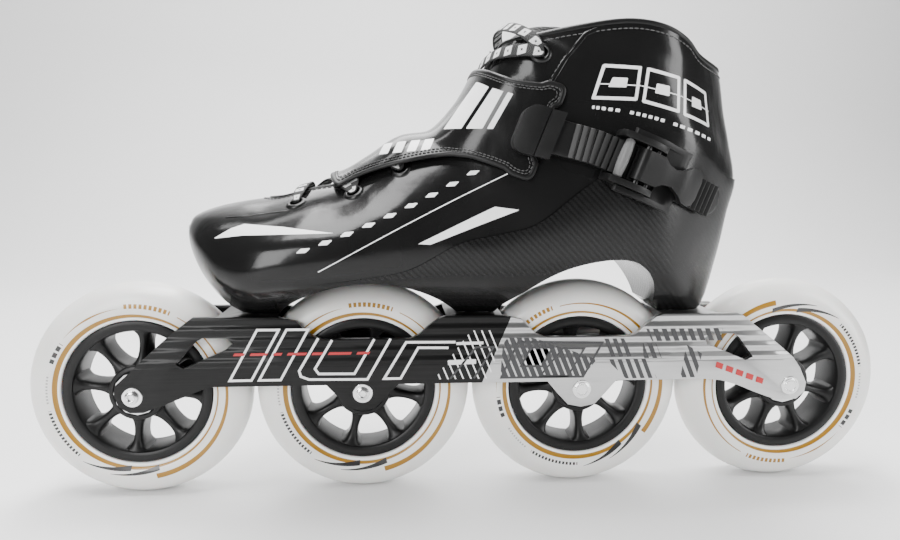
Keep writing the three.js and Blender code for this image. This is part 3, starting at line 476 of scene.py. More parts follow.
def sweep(path, outs, halfWidths, halfHeights, sides=10, closed=False, power=1.0):
    # a band along the path, lying flat against the surface whose normals are outs
    path, outs = np.asarray(path, float), np.asarray(outs, float)
    tangents = np.roll(path, -1, axis=0) - np.roll(path, 1, axis=0)
    if not closed:
        tangents[0], tangents[-1] = path[1] - path[0], path[-1] - path[-2]
    tangents /= np.linalg.norm(tangents, axis=1)[:, None]
    across = np.cross(tangents, outs)
    across /= np.linalg.norm(across, axis=1)[:, None]
    ups = np.cross(across, tangents)
    turns = np.linspace(0, 2 * math.pi, sides, endpoint=False)
    wide = np.sign(np.cos(turns)) * np.abs(np.cos(turns)) ** power
    tall = np.sign(np.sin(turns)) * np.abs(np.sin(turns)) ** power
    halfWidths = np.broadcast_to(halfWidths, len(path))
    halfHeights = np.broadcast_to(halfHeights, len(path))
    rings = [
        [p + a * w * hw + u * t * hh for w, t in zip(wide, tall)]
        for p, a, u, hw, hh in zip(path, across, ups, halfWidths, halfHeights)
    ]
    if closed:
        rings.append(rings[0])
        count = sides
        points = [tuple(p) for ring in rings[:-1] for p in ring]
        total = len(points)
        faces = []
        for i in range(len(rings) - 1):
            for j in range(count):
                k = (j + 1) % count
                quad = (i * count + j, i * count + k, (i + 1) * count + k, (i + 1) * count + j)
                faces.append(tuple(q % total for q in quad))
        return points, facedOut(points, faces)
    return loft(rings)


# Signed distance to a polygon in the side view, positive inside
def inside(polygon, x, z):
    polygon = np.asarray(polygon, float)
    nearest = np.full(len(x), 1e9)
    odd = np.zeros(len(x), bool)
    for (ax, az), (bx, bz) in zip(polygon, np.roll(polygon, -1, axis=0)):
        ex, ez = bx - ax, bz - az
        share = np.clip(((x - ax) * ex + (z - az) * ez) / (ex * ex + ez * ez), 0, 1)
        nearest = np.minimum(nearest, np.hypot(x - ax - share * ex, z - az - share * ez))
        if az != bz:
            crosses = (az > z) != (bz > z)
            odd ^= crosses & (x < ax + (z - az) * ex / ez)
    return np.where(odd, nearest, -nearest)


# Keeps the side of a sheet of triangles where value is above zero
def clipSheet(points, faces, value):
    values = value(points)
    kept = values > 0
    count = kept[faces].sum(axis=1)
    result = faces[count == 3].tolist()
    rows = list(points)
    crossings = {}

    def crossing(a, b):
        key = (min(a, b), max(a, b))
        if key not in crossings:
            share = values[a] / (values[a] - values[b])
            crossings[key] = len(rows)
            rows.append(points[a] + (points[b] - points[a]) * share)
        return crossings[key]

    for face in faces[(count > 0) & (count < 3)]:
        ring = []
        for i in range(3):
            a, b = face[i], face[(i + 1) % 3]
            if kept[a]:
                ring.append(a)
            if kept[a] != kept[b]:
                ring.append(crossing(a, b))
        result += [[ring[0], ring[i], ring[i + 1]] for i in range(1, len(ring) - 1)]
    result = np.array(result)
    used, renumbered = np.unique(result, return_inverse=True)
    return np.array(rows)[used], renumbered.reshape(result.shape)


def borderEdges(faces):
    seen = {}
    for face in faces:
        for i in range(3):
            a, b = int(face[i]), int(face[(i + 1) % 3])
            seen[(a, b)] = True
    return [edge for edge in seen if (edge[1], edge[0]) not in seen]


def borders(faces):
    # ordered loops of the points round a sheet's edges
    follow = dict(borderEdges(faces))
    loops = []
    while follow:
        start, current = next(iter(follow.items()))
        loop = [start]
        del follow[start]
        while current in follow:
            loop.append(current)
            current = follow.pop(current)
        loops.append(loop)
    return sorted(loops, key=len, reverse=True)


def thicken(points, faces, low, high):
    # columns 5 to 7 hold the normal; a closed wall between two heights over the sheet
    normals = points[:, 5:8] / np.linalg.norm(points[:, 5:8], axis=1)[:, None]
    outer = points[:, :3] + normals * (high if np.ndim(high) == 0 else high[:, None])
    inner = points[:, :3] + normals * (low if np.ndim(low) == 0 else low[:, None])
    total = len(points)
    result = [tuple(face) for face in faces]
    result += [tuple(k + total for k in reversed(face)) for face in faces.tolist()]
    result += [(b, a, a + total, b + total) for a, b in borderEdges(faces)]
    return np.vstack([outer, inner]), result


# Boot surface: top x, z; under x, z; half widths at the stations; lean of the top to the inside of the foot
bootStations = (0.05, 0.2, 0.42, 0.68, 0.9)
bootSections = np.array([
    (-141, 140, -141.5, 136.5, 4, 6, 7, 6, 4, 8),
    (-137.4, 144, -138, 124, 13, 18, 20, 17, 11, 8),
    (-128.4, 147.5, -131.5, 110, 19, 29, 33, 28, 16, 8),
    (-114, 150.5, -123, 98.5, 21, 36, 42, 38, 18, 7),
    (-97.5, 153, -112, 92.8, 20, 39, 48, 44, 18, 5),
    (-80, 158, -92, 92.8, 20, 38, 50, 46, 18, 4),
    (-64, 161.5, -66, 92.8, 19, 36, 49, 45, 19, 2),
    (-50, 169.5, -38, 92.8, 19, 34, 46, 43, 19, 0),
    (-36, 178.5, -8, 92.8, 20, 33, 43, 41, 19, 0),
    (-20, 182, 24, 92.8, 22, 34, 41, 40, 19, 0),
    (-7, 195, 54, 92.8, 25, 35, 41, 39, 19, 0),
    (1.5, 209, 84, 92.8, 27, 36, 41, 38, 19, 0),
    (5, 218, 104, 92.8, 28, 37, 41, 37, 18, 0),
    (7.5, 224, 121, 93.4, 28, 38, 41, 36, 17, 0),
    (9.5, 228, 129.5, 121, 28, 38, 41, 36, 17, 0),
    (11.5, 230.5, 134, 145, 27, 37, 41, 36, 17, 0),
    (13.5, 232, 137.5, 162, 26, 36, 41, 36, 17, 0),
    (15.5, 233.5, 134, 180, 25, 36, 40, 35, 16, 0),
    (17.5, 235, 130, 196, 24, 35, 39, 34, 16, 0),
    (19.5, 236.5, 127, 212, 23, 34, 37, 33, 16, 0),
    (22, 239, 123, 226, 22, 33, 36, 32, 16, 0),
    (25, 244, 120, 240, 21, 32, 35, 31, 16, 0),
])
lastSection = len(bootSections) - 1.0


def curveThrough(values, t, wrap=False):
    # values is (n, k), or (m, n, k) with one row for each t
    single = values.ndim == 2
    n = values.shape[-2]
    i = np.minimum(np.floor(t).astype(int), n - 1 if wrap else n - 2)
    f = (t - i)[:, None]

    def at(k):
        place = (i + k) % n if wrap else np.clip(i + k, 0, n - 1)
        return values[place] if single else values[np.arange(len(t)), place]

    a, b, c, d = at(-1), at(0), at(1), at(2)
    second = (2 * a - 5 * b + 4 * c - d) * f ** 2
    third = (3 * b - a - 3 * c + d) * f ** 3
    return 0.5 * (2 * b + (c - a) * f + second + third)


def bootPoints(u, v):
    u, v = np.broadcast_arrays(np.asarray(u, float), np.asarray(v, float))
    rows = curveThrough(bootSections, np.clip(u, 0, lastSection))
    loops = np.zeros((len(rows), 12, 2))
    for k, station in enumerate(bootStations):
        loops[:, 1 + k, 0] = loops[:, 11 - k, 0] = station
        loops[:, 1 + k, 1] = -rows[:, 4 + k]
        loops[:, 11 - k, 1] = rows[:, 4 + k]
    loops[:, 6, 0] = 1
    share = curveThrough(loops, (v % 1) * 12, True)
    s, y = share[:, 0], share[:, 1]
    return np.stack([
        rows[:, 0] + (rows[:, 2] - rows[:, 0]) * s,
        y + rows[:, 9] * (1 - s),
        rows[:, 1] + (rows[:, 3] - rows[:, 1]) * s,
    ], axis=1)


def bootNormals(u, v):
    u, v = np.broadcast_arrays(np.asarray(u, float), np.asarray(v, float))
    along = bootPoints(np.minimum(u + 0.05, lastSection), v) - bootPoints(np.maximum(u - 0.05, 0), v)
    normals = np.cross(bootPoints(u, v + 0.01) - bootPoints(u, v - 0.01), along)
    return normals / np.linalg.norm(normals, axis=1)[:, None]


def bootSheet(uRange, vRange, uSteps, vSteps):
    # rows of x, y, z, u, v and the normal, and triangles between them
    us = np.linspace(*uRange, uSteps + 1)
    vs = np.linspace(*vRange, vSteps + 1)
    u, v = (grid.ravel() for grid in np.meshgrid(us, vs, indexing="ij"))
    points = np.column_stack([bootPoints(u, v), u, v, bootNormals(u, v)])
    faces = []
    for i in range(uSteps):
        for j in range(vSteps):
            a = i * (vSteps + 1) + j
            b, c, d = a + 1, a + vSteps + 2, a + vSteps + 1
            faces += [(a, b, c), (a, c, d)]
    return points, np.array(faces)


def closeRound(points, faces, vSteps):
    # joins the last column of a full turn to the first, and closes the toe
    column = np.arange(len(points)) % (vSteps + 1)
    target = np.where(column == vSteps, np.arange(len(points)) - vSteps, np.arange(len(points)))
    faces = target[faces]
    tip = points[: vSteps].mean(axis=0)
    tip[0] -= 1.2
    tip[5:8] = (-1, 0, 0)
    points = np.vstack([points, tip])
    fan = [(len(points) - 1, (j + 1) % vSteps, j) for j in range(vSteps)]
    return points, np.vstack([faces, fan])


def bootSolid(name, lift, uFirst, uSteps=88, vSteps=84, rise=0.0):
    us = np.linspace(uFirst, lastSection, uSteps + 1)
    vs = np.arange(vSteps) / vSteps
    rings = []
    for u in us:
        high = lift(u) if callable(lift) else lift
        rings.append(bootPoints(u + 0 * vs, vs) + bootNormals(u + 0 * vs, vs) * high)
    if rise:
        rings.append(rings[-1] + np.array((0, 0, rise)))
    points, faces = loft(rings)
    return makePiece(name, points, faces, finishes["carbon"])


collarLine = np.array([
    (-170, 230), (-30, 224), (14, 226), (40, 230), (66, 233.5), (84, 232), (98, 227), (112, 219), (170, 212),
], float)
seamLine = np.array([
    (-170, 110), (-130, 106), (-110, 105), (-92, 108), (-76, 114), (-55, 117), (-33, 121), (-10, 133),
    (8, 137), (26, 142), (47, 158), (60, 166), (78, 173), (94, 176.5), (112, 172), (126, 164), (170, 160),
], float)
bedLine = np.array([
    (-160, 124), (-130, 119), (-100, 117), (-50, 116.5), (0, 122), (50, 127.5), (100, 129), (160, 130),
], float)


def heightAt(line, x):
    fine = curveThrough(line, np.linspace(0, len(line) - 1, 200))
    return np.interp(x, fine[:, 0], fine[:, 1])


def prism(name, outline, y0, y1):
    outline = [tuple(p) for p in outline]
    points = [(x, y0, z) for x, z in outline] + [(x, y1, z) for x, z in outline]
    n = len(outline)
    faces = [tuple(range(n)), tuple(reversed(range(n, 2 * n)))]
    faces += [(j, (j + 1) % n, n + (j + 1) % n, n + j) for j in range(n)]
    return makePiece(name, points, facedOut(points, faces), finishes["carbon"])


def circle(x, z, radius, count=72):
    turns = np.linspace(0, 2 * math.pi, count, endpoint=False)
    return [(x + radius * math.cos(t), z + radius * math.sin(t)) for t in turns]


def carve(piece, cutters, operation="DIFFERENCE"):
    for cutter in cutters:
        step = piece.modifiers.new("cut", "BOOLEAN")
        step.operation = operation
        step.solver = "EXACT"
        step.object = cutter
        settle(piece)
        bpy.data.objects.remove(cutter)
    return piece


def bandAbove(line, low, x0=-169, x1=169):
    # the region between a line in the side view and a level
    xs = np.linspace(x0, x1, 120)
    return list(zip(xs, heightAt(line, xs))) + [(x1, low), (x0, low)]


hullValues = {"proud": 0.9, "wall": 2.8, "archRadius": 60, "tyreRoom": 57.5}
archLine = np.array([
    (9, 88), (13, 98.5), (21.4, 106.4), (33.5, 115.7), (45.8, 121.1), (60.6, 124), (73.2, 123.6),
    (81.5, 119.6), (87.8, 112.6), (91.6, 102.8), (92.4, 88),
], float)


def makeHull(values):
    def proud(u):
        return values["proud"] * min(1.0, max(0.0, (u - 6.5) / 3))

    hull = bootSolid("carbon_hull", proud, 0)
    foot = bootSolid("foot_space", -values["wall"], 1, 60, 60, 40)
    carve(foot, [prism("bed", bandAbove(bedLine, 40), -90, 90)])
    wheels = [prism("room", circle(x, z, values["tyreRoom"]), -30, 30) for x, z in wheelPlaces]
    archX, archZ = wheelPlaces[1]
    frontArch = circle(archX + 3, archZ - 0.5, values["archRadius"])
    cutters = [
        prism("over_seam", bandAbove(seamLine, 300), -90, 90),
        prism("front_arch", frontArch, -90, 90),
        prism("heel_arch", curveThrough(archLine, np.linspace(0, len(archLine) - 1, 60)), -90, 90),
        prism("deck_room", [(-200, 40), (200, 40), (200, 94.5), (-200, 94.5)], -90, 90),
    ]
    carve(hull, cutters + wheels + [foot])
    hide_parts("carbon_shell")
    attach(hull, "skate")
    print("hull", len(hull.data.polygons), "faces")
    return hull


makeHull(hullValues)


upperValues = {
    "wall": 2.4,
    "slotStart": 3.75,
    "slotHalf": 13,
    "eyeletHole": 2.9,
    "eyelets": ((4.75, 0.118), (6.35, 0.128), (7.75, 0.128), (14.85, 0.132)),
}


def throatValue(points, extra=0.0):
    # above zero outside the slot over the tongue
    u, v = points[:, 3], points[:, 4]
    middle = bootPoints(u, 0 * u)[:, 1]
    reach = upperValues["slotHalf"] + np.maximum(0, u - 9) * 0.9 + extra
    ahead = np.maximum(0, upperValues["slotStart"] + 0.9 - u) * 14
    value = np.hypot(points[:, 1] - middle, ahead) - reach
    under = np.abs(((v + 0.5) % 1) - 0.5) > 0.25
    return np.where(under, 50.0, value)


def makeUpper(values):
    vSteps = 168
    points, faces = closeRound(*bootSheet((0, lastSection), (0, 1), 132, vSteps), vSteps)
    points, faces = clipSheet(points, faces, lambda p: p[:, 2] - heightAt(seamLine, p[:, 0]) - 0.15)
    points, faces = clipSheet(points, faces, lambda p: heightAt(collarLine, p[:, 0]) - p[:, 2])
    points, faces = clipSheet(points, faces, throatValue)
    for u, v in values["eyelets"]:
        for place in (v, -v):
            middle = bootPoints(np.array([u]), np.array([place]))[0]
            points, faces = clipSheet(
                points, faces, lambda p: np.linalg.norm(p[:, :3] - middle, axis=1) - values["eyeletHole"])
    solidPoints, solidFaces = thicken(points, faces, -values["wall"], 0.0)
    upper = makePiece("patent_upper", solidPoints, solidFaces, finishes["patent"], 50)
    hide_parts("upper")
    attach(upper, "skate")
    print("upper", len(solidFaces), "faces")
    return points, faces


upperSheet = makeUpper(upperValues)
upperTree = BVHTree.FromPolygons([Vector(p[:3]) for p in upperSheet[0]], upperSheet[1].tolist())


# Rows of small pieces along a path, by Geometry Nodes
def rowTree():
    tree = bpy.data.node_groups.new("row_along_path", "GeometryNodeTree")
    face = tree.interface
    kinds = (("Geometry", "NodeSocketGeometry"), ("Spacing", "NodeSocketFloat"),
             ("Piece", "NodeSocketObject"),
             ("Across", "NodeSocketVector"), ("Finish", "NodeSocketMaterial"))
    for label, kind in kinds:
        face.new_socket(label, in_out="INPUT", socket_type=kind)
    face.new_socket("Geometry", in_out="OUTPUT", socket_type="NodeSocketGeometry")

    def grow(kind, settings, inputs):
        node = tree.nodes.new(kind)
        for key, value in settings.items():
            setattr(node, key, value)
        for key, value in inputs.items():
            if hasattr(value, "is_linked"):
                tree.links.new(value, node.inputs[key])
            else:
                node.inputs[key].default_value = value
        return node

    given = grow("NodeGroupInput", {}, {}).outputs
    curve = grow("GeometryNodeMeshToCurve", {}, {"Mesh": given["Geometry"]})
    marks = grow("GeometryNodeCurveToPoints", {"mode": "LENGTH"},
                 {"Curve": curve.outputs["Curve"], "Length": given["Spacing"]})
    along = grow("FunctionNodeAlignRotationToVector", {"axis": "X"}, {"Vector": marks.outputs["Tangent"]})
    level = grow("FunctionNodeAlignRotationToVector", {"axis": "Z", "pivot_axis": "X"},
                 {"Rotation": along.outputs["Rotation"], "Vector": given["Across"]})
    shape = grow("GeometryNodeObjectInfo", {}, {"Object": given["Piece"]})
    placed = grow("GeometryNodeInstanceOnPoints", {}, {
        "Points": marks.outputs["Points"], "Instance": shape.outputs["Geometry"],
        "Rotation": level.outputs["Rotation"]})
    real = grow("GeometryNodeRealizeInstances", {}, {"Geometry": placed.outputs["Instances"]})
    wanted = {"Geometry": real.outputs["Geometry"], "Material": given["Finish"]}
    dressed = grow("GeometryNodeSetMaterial", {}, wanted)
    grow("NodeGroupOutput", {}, {"Geometry": dressed.outputs["Geometry"]})
    return tree


rowNodes = rowTree()


def fillInputs(modifier, tree, values):
    for item in tree.interface.items_tree:
        if item.in_out == "INPUT" and item.name in values:
            modifier[item.identifier] = values[item.name]


def makeRow(name, paths, blank, spacing, across, material, sharp=35):
    # paths in mm; blank is a small object that is removed afterwards by the caller
    points, edges = [], []
    for path in paths:
        start = len(points)
        points += [tuple(np.asarray(p[:3], float) * mm) for p in path]
        edges += [(start + k, start + k + 1) for k in range(len(path) - 1)]
    mesh = bpy.data.meshes.new(name)
    mesh.from_pydata(points, edges, [])
    row = bpy.data.objects.new(name, mesh)
    scene.collection.objects.link(row)
    modifier = row.modifiers.new("row", "NODES")
    modifier.node_group = rowNodes
    fillInputs(modifier, rowNodes, {
        "Spacing": spacing * mm, "Piece": blank, "Across": Vector(across), "Finish": material})
    row.update_tag()
    return settle(row, sharp)


def stitchBlank(length, radius):
    rings = []
    for share in (-1, -0.8, -0.35, 0.35, 0.8, 1):
        reach = radius * max(0.25, math.sqrt(max(0.0, 1 - share ** 4)))
        rings.append([(share * length / 2, reach * math.cos(t), reach * math.sin(t))
                      for t in np.linspace(0, 2 * math.pi, 6, endpoint=False)])
    points, faces = loft(rings)
    return makePiece("stitch_blank", points, faces, finishes["thread"], 60)


sewn = {"spacing": 2.6, "length": 2.0, "radius": 0.28, "belowCollar": 3.4, "besideThroat": 3.0}
quarterSeam = [(51, 228.8), (45.5, 226.4), (36.5, 216.1), (29, 204)]
quarterWelt = [(52, 229.5), (46.5, 227.2), (37.7, 216.4), (30, 204)]
toeCrease = [(-118, 143.4), (-106, 144.4), (-88, 147)]


def onUpper(x, z, side=-1, lift=0.0):
    # the upper's surface at a point of the side view; side -1 is the outside of the foot
    hit = upperTree.ray_cast(Vector((x, side * 120, z)), Vector((0, -side, 0)))
    if hit[0] is None:
        return None
    normal = hit[1] if hit[1].y * side > 0 else -hit[1]
    return np.array(hit[0] + normal * lift), np.array(normal)


def lineOnUpper(corners, side=-1, lift=0.0, spacing=1.5):
    path = resampled(corners, spacing)
    found = [onUpper(x, z, side, lift) for x, z in path]
    found = [f for f in found if f]
    return np.array([f[0] for f in found]), np.array([f[1] for f in found])


def makeSewing():
    points, faces = upperSheet
    loops = borders(faces)
    normals = points[:, 5:8]
    # rolled binding round the collar and the throat, and the stitches under it
    rim = max(loops, key=lambda loop: points[loop][:, 2].max())
    high = points[rim]
    path = resampled(np.column_stack([high[:, :3] - normals[rim] * 0.9, normals[rim]]), 1.4, True)
    path = smoothed(path, 3, True)
    tube = sweep(path[:, :3], path[:, 3:6], 1.5, 1.55, 10, True)
    binding = makePiece("collar_binding", *tube, finishes["binding"], 60)
    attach(binding, "skate")

    blank = stitchBlank(sewn["length"], sewn["radius"])
    below, beside = sewn["belowCollar"], sewn["besideThroat"]
    inner, innerFaces = clipSheet(points, faces, lambda p: heightAt(collarLine, p[:, 0]) - p[:, 2] - below)
    inner, innerFaces = clipSheet(inner, innerFaces, lambda p: throatValue(p, beside))
    rows = []
    for loop in borders(innerFaces):
        ring = inner[loop]
        # the stretches that run beside the edge, not along the hull's seam or round an eyelet
        under = heightAt(collarLine, ring[:, 0]) - ring[:, 2] < below + 0.4
        kept = (throatValue(ring, beside) < 0.3) | under
        run = []
        for keep, row in zip(kept, ring):
            if keep:
                run.append(row[:3] + row[5:8] * 0.1)
            elif len(run) > 6:
                rows.append(resampled(smoothed(run, 2), 1.0))
                run = []
            else:
                run = []
        if len(run) > 6:
            rows.append(resampled(smoothed(run, 2), 1.0))
    rows = [row for row in rows if len(row) > 8]
    rows += [lineOnUpper(quarterSeam, side, 0.1)[0] for side in (-1, 1)]
    stitches = makeRow("upper_stitches", rows, blank, sewn["spacing"], (0, 0, 1), finishes["thread"], 60)
    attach(stitches, "skate")
    ridges = []
    for side in (-1, 1):
        path, outs = lineOnUpper(quarterWelt, side, 0.05)
        ridges.append(sweep(path, outs, 1.1, 0.45, 8))
        path, outs = lineOnUpper(toeCrease, side, 0.05)
        ridges.append(sweep(path, outs, 0.5, 0.3, 8))
    welt = makePiece("quarter_welt", *joinParts(*ridges), finishes["patent"], 60)
    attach(welt, "skate")
    bpy.data.objects.remove(blank)
    print("sewing done")


makeSewing()


# Wheels
hubValues = {"rim": 36.5, "rimInner": 31.2, "half": 10.5, "boss": 14, "bore": 11.35, "spokes": 8}
tyreValues = {"inner": 36.8, "outer": 55, "half": 12, "shoulder": 41.9}
spokeRolls = (39, 32, 6, 28)


def spinTree():
    tree = bpy.data.node_groups.new("spin_round_axle", "GeometryNodeTree")
    face = tree.interface
    kinds = (("Geometry", "NodeSocketGeometry"), ("Count", "NodeSocketInt"), ("Start", "NodeSocketFloat"),
             ("Centre", "NodeSocketVector"), ("Finish", "NodeSocketMaterial"))
    for label, kind in kinds:
        face.new_socket(label, in_out="INPUT", socket_type=kind)
    face.new_socket("Geometry", in_out="OUTPUT", socket_type="NodeSocketGeometry")
    new, link = tree.nodes.new, tree.links.new
    given = new("NodeGroupInput").outputs
    copies = new("GeometryNodePoints")
    link(given["Count"], copies.inputs["Count"])
    link(given["Centre"], copies.inputs["Position"])
    index = new("GeometryNodeInputIndex")
    step = new("ShaderNodeMath")
    step.operation = "DIVIDE"
    step.inputs[0].default_value = -2 * math.pi
    link(given["Count"], step.inputs[1])
    turn = new("ShaderNodeMath")
    turn.operation = "MULTIPLY_ADD"
    link(index.outputs[0], turn.inputs[0])
    link(step.outputs[0], turn.inputs[1])
    link(given["Start"], turn.inputs[2])
    angles = new("ShaderNodeCombineXYZ")
    link(turn.outputs[0], angles.inputs["Y"])
    placed = new("GeometryNodeInstanceOnPoints")
    link(copies.outputs[0], placed.inputs["Points"])
    link(given["Geometry"], placed.inputs["Instance"])
    link(angles.outputs[0], placed.inputs["Rotation"])
    real = new("GeometryNodeRealizeInstances")
    link(placed.outputs[0], real.inputs[0])
    dressed = new("GeometryNodeSetMaterial")
    link(real.outputs[0], dressed.inputs["Geometry"])
    link(given["Finish"], dressed.inputs["Material"])
    link(dressed.outputs[0], new("NodeGroupOutput").inputs[0])
    return tree


spinNodes = spinTree()


def makeSpokes(name, centre, roll):
    radii = (11.8, 13, 14.6, 16.8, 20, 24, 27.5, 29.6, 31.2, 33.4)
    widths = (5.7, 5.0, 3.8, 2.75, 2.2, 2.15, 2.7, 3.9, 6.2, 9.0)
    depths = (9.6, 9.3, 8.8, 8.2, 7.6, 7.4, 7.9, 8.7, 9.3, 9.6)
    rings = []
    for r, w, d in zip(radii, widths, depths):
        ring = []
        for t in np.linspace(0, 2 * math.pi, 20, endpoint=False):
            c, s = math.cos(t), math.sin(t)
            ring.append((r, math.copysign(abs(s) ** 0.45, s) * d, math.copysign(abs(c) ** 0.6, c) * w))
        rings.append(ring)
    dense = [curveThrough(np.array([ring[j] for ring in rings], float), np.linspace(0, len(radii) - 1, 28))
             for j in range(20)]
    rings = [[dense[j][i] for j in range(20)] for i in range(28)]
    spokes = makePiece(name, *loft(rings), finishes["hub"], 50)
    modifier = spokes.modifiers.new("spin", "NODES")
    modifier.node_group = spinNodes
    fillInputs(modifier, spinNodes, {
        "Count": hubValues["spokes"], "Start": math.radians(-roll),
        "Centre": Vector((centre[0], 0, centre[1])) * mm, "Finish": finishes["hub"]})
    spokes.update_tag()
    return settle(spokes, 50)


def makeHub(index, centre, roll):
    v = hubValues
    rim = [(v["rimInner"], -8.8), (31.7, -9.9), (32.6, -10.4), (33.6, -10.5), (35.7, -10.5), (36.3, -10.2),
           (v["rim"], -9.6), (v["rim"], 9.6), (36.3, 10.2), (35.7, 10.5), (33.6, 10.5), (32.6, 10.4),
           (31.7, 9.9),
           (v["rimInner"], 8.8)]
    boss = [(v["bore"], -11.2), (11.7, -11.5), (12.9, -11.4), (13.6, -11), (v["boss"], -10.2),
            (v["boss"], 10.2),
            (13.6, 11), (12.9, 11.4), (11.7, 11.5), (v["bore"], 11.2), (v["bore"], 4.8), (9, 4.7), (9, -4.7),
            (v["bore"], -4.8)]
    parts = []
    for profile in (rim, boss):
        points, faces = lathe(profile, centre, 96)
        parts.append((points, facedOut(points, faces)))
    hub = makePiece(f"hub_body_{index}", *joinParts(*parts), finishes["hub"], 28)
    spokes = makeSpokes(f"hub_spokes_{index}", centre, roll)
    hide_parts(f"hub_{index}")
    for piece in (hub, spokes):
        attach(piece, f"wheel_{index}")


def makeTyre(index, centre):
    v = tyreValues
    side = [(v["inner"], v["half"] * 0.8), (37.0, 10.2), (37.5, 10.75), (38.1, 10.8), (38.5, 10.62),
            (39.4, 10.95)]
    side += [(40.6, 11.5), (v["shoulder"], 11.85)]
    for t in np.linspace(0.12, math.pi / 2, 18):
        reach = v["shoulder"] + (v["outer"] - v["shoulder"]) * math.sin(t) ** 0.92
        side.append((reach, v["half"] * math.cos(t) ** 1.02))
    profile = [(r, -y) for r, y in side] + [(r, y) for r, y in reversed(side[:-1])]
    points, faces = lathe(profile, centre, 144)
    finish = tyreFinish(index, centre, wheelTurns[index - 1])
    tyre = makePiece(f"tyre_cast_{index}", points, facedOut(points, faces), finish, 60)
    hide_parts(f"tyre_{index}")
    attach(tyre, f"wheel_{index}")


axleValues = {"head": 3.3, "ring": 4.9, "socket": 1.7}


def makeAxle(index, centre):
    v = axleValues
    low, high = (np.array(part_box(f"axle_bolt_{index}")) / mm)
    face, back = low[1], high[1]
    ring = v["ring"]
    if index < 3:  # a domed head with a socket
        head = [(0.01, face + 1.3), (v["socket"], face + 1.2), (v["socket"], face + 0.25),
                (v["socket"] + 0.25, face)]
        head += [(2.5, face + 0.06), (v["head"] - 0.15, face + 0.5), (v["head"], face + 0.9)]
        head += [(v["head"] + 0.1, -17.9), (ring - 0.3, -17.9), (ring, -17.7)]
    else:  # a flat end with a turned groove
        head = [(0.01, -18.1), (2.5, -18.1), (2.65, -17.95), (2.9, -17.95), (3.05, -18.15),
                (v["head"] + 0.3, -18.15)]
        head += [(v["head"] + 0.6, -17.95), (ring - 0.2, -17.95), (ring, -17.7)]
    shank = [(ring, -17.55), (3.95, -17.55), (3.95, back - 0.7), (3.3, back), (2.4, back),
             (2.3, back - 1), (0.01, back - 1)]
    points, faces = lathe(head + shank, centre, 64)
    bolt = makePiece(f"axle_bolt_turned_{index}", points, facedOut(points, faces), finishes["axle"], 30)
    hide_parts(f"axle_bolt_{index}")
    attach(bolt, "skate")


for wheelIndex, wheelPlace in enumerate(wheelPlaces, 1):
    makeTyre(wheelIndex, wheelPlace)
    makeHub(wheelIndex, wheelPlace, spokeRolls[wheelIndex - 1])
    makeAxle(wheelIndex, wheelPlace)
print("wheels done")


# Frame and its printed pattern
frameValues = {"edge": 0.55, "face": 17.5, "ink": 0.06}


def makeFrame(values):
    rail = fromNode("frame", "rails_machined", finishes["rail"], values["edge"])
    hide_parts("frame")
    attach(rail, "skate")


def stroke(corners, width, closed=False):
    # quads along a line in the side view, with mitred corners
    corners = np.asarray(corners, float)
    count = len(corners)
    sides = []
    for k in range(count):
        before = corners[k] - corners[k - 1] if closed or k > 0 else corners[1] - corners[0]
        after = corners[(k + 1) % count] - corners[k] if closed or k < count - 1 else before
        before, after = before / np.linalg.norm(before), after / np.linalg.norm(after)
        bisector = before + after
        bisector /= np.linalg.norm(bisector)
        normal = np.array((-bisector[1], bisector[0]))
        stretch = min(2.2, 1 / max(0.3, abs(np.dot(normal, (-before[1], before[0])))))
        sides.append((corners[k] + normal * width / 2 * stretch, corners[k] - normal * width / 2 * stretch))
    last = count if closed else count - 1
    after = [(k + 1) % count for k in range(last)]
    return [[sides[k][0], sides[k][1], sides[n][1], sides[n][0]] for k, n in enumerate(after)]


def withinConvex(shape, window):
    # the part of a polygon inside a convex window drawn counterclockwise
    shape = [np.asarray(p, float) for p in shape]
    for a, b in zip(window, window[1:] + window[:1]):
        a, b = np.asarray(a, float), np.asarray(b, float)

        def depth(p):
            return (b[0] - a[0]) * (p[1] - a[1]) - (b[1] - a[1]) * (p[0] - a[0])

        result = []
        for k, point in enumerate(shape):
            before = shape[k - 1]
            if (depth(point) > 0) != (depth(before) > 0):
                share = depth(before) / (depth(before) - depth(point))
                result.append(before + (point - before) * share)
            if depth(point) > 0:
                result.append(point)
        shape = result
        if len(shape) < 3:
            return None
    return shape


def hatch(window, pitch, width, slant=0.42):
    # bars that lean to the toe at the top, cut to a convex window drawn counterclockwise
    xs, zs = zip(*window)
    low, high = min(zs) - 1, max(zs) + 1
    bars = []
    for x in np.arange(min(xs) - 20, max(xs) + 20, pitch):
        lean = slant * (high - low)
        bar = [(x + lean, low), (x + lean + width, low), (x + width, high), (x, high)]
        bars.append(withinConvex(bar, window))
    return [bar for bar in bars if bar]


def flatInk(name, shapes, finish, layer=1):
    # printed on both rail sides
    values = frameValues
    parts = []
    for side in (-1, 1):
        for shape in shapes:
            n = len(shape)
            near = side * (values["face"] + values["ink"] * (layer - 1) + 0.01)
            far = side * (values["face"] + values["ink"] * layer)
            points = [(p[0], near, p[1]) for p in shape] + [(p[0], far, p[1]) for p in shape]
            faces = [tuple(range(n)), tuple(reversed(range(n, 2 * n)))]
            faces += [(j, n + j, n + (j + 1) % n, (j + 1) % n) for j in range(n)]
            parts.append((points, facedOut(points, faces)))
    ink = makePiece(name, *joinParts(*parts), finishes[finish], 20)
    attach(ink, "skate")


def slanted(x, low, high, width, lean=0.55):
    top = x + lean * (high - low)
    return [(top, high), (top + width, high), (x + width, low), (x, low)]


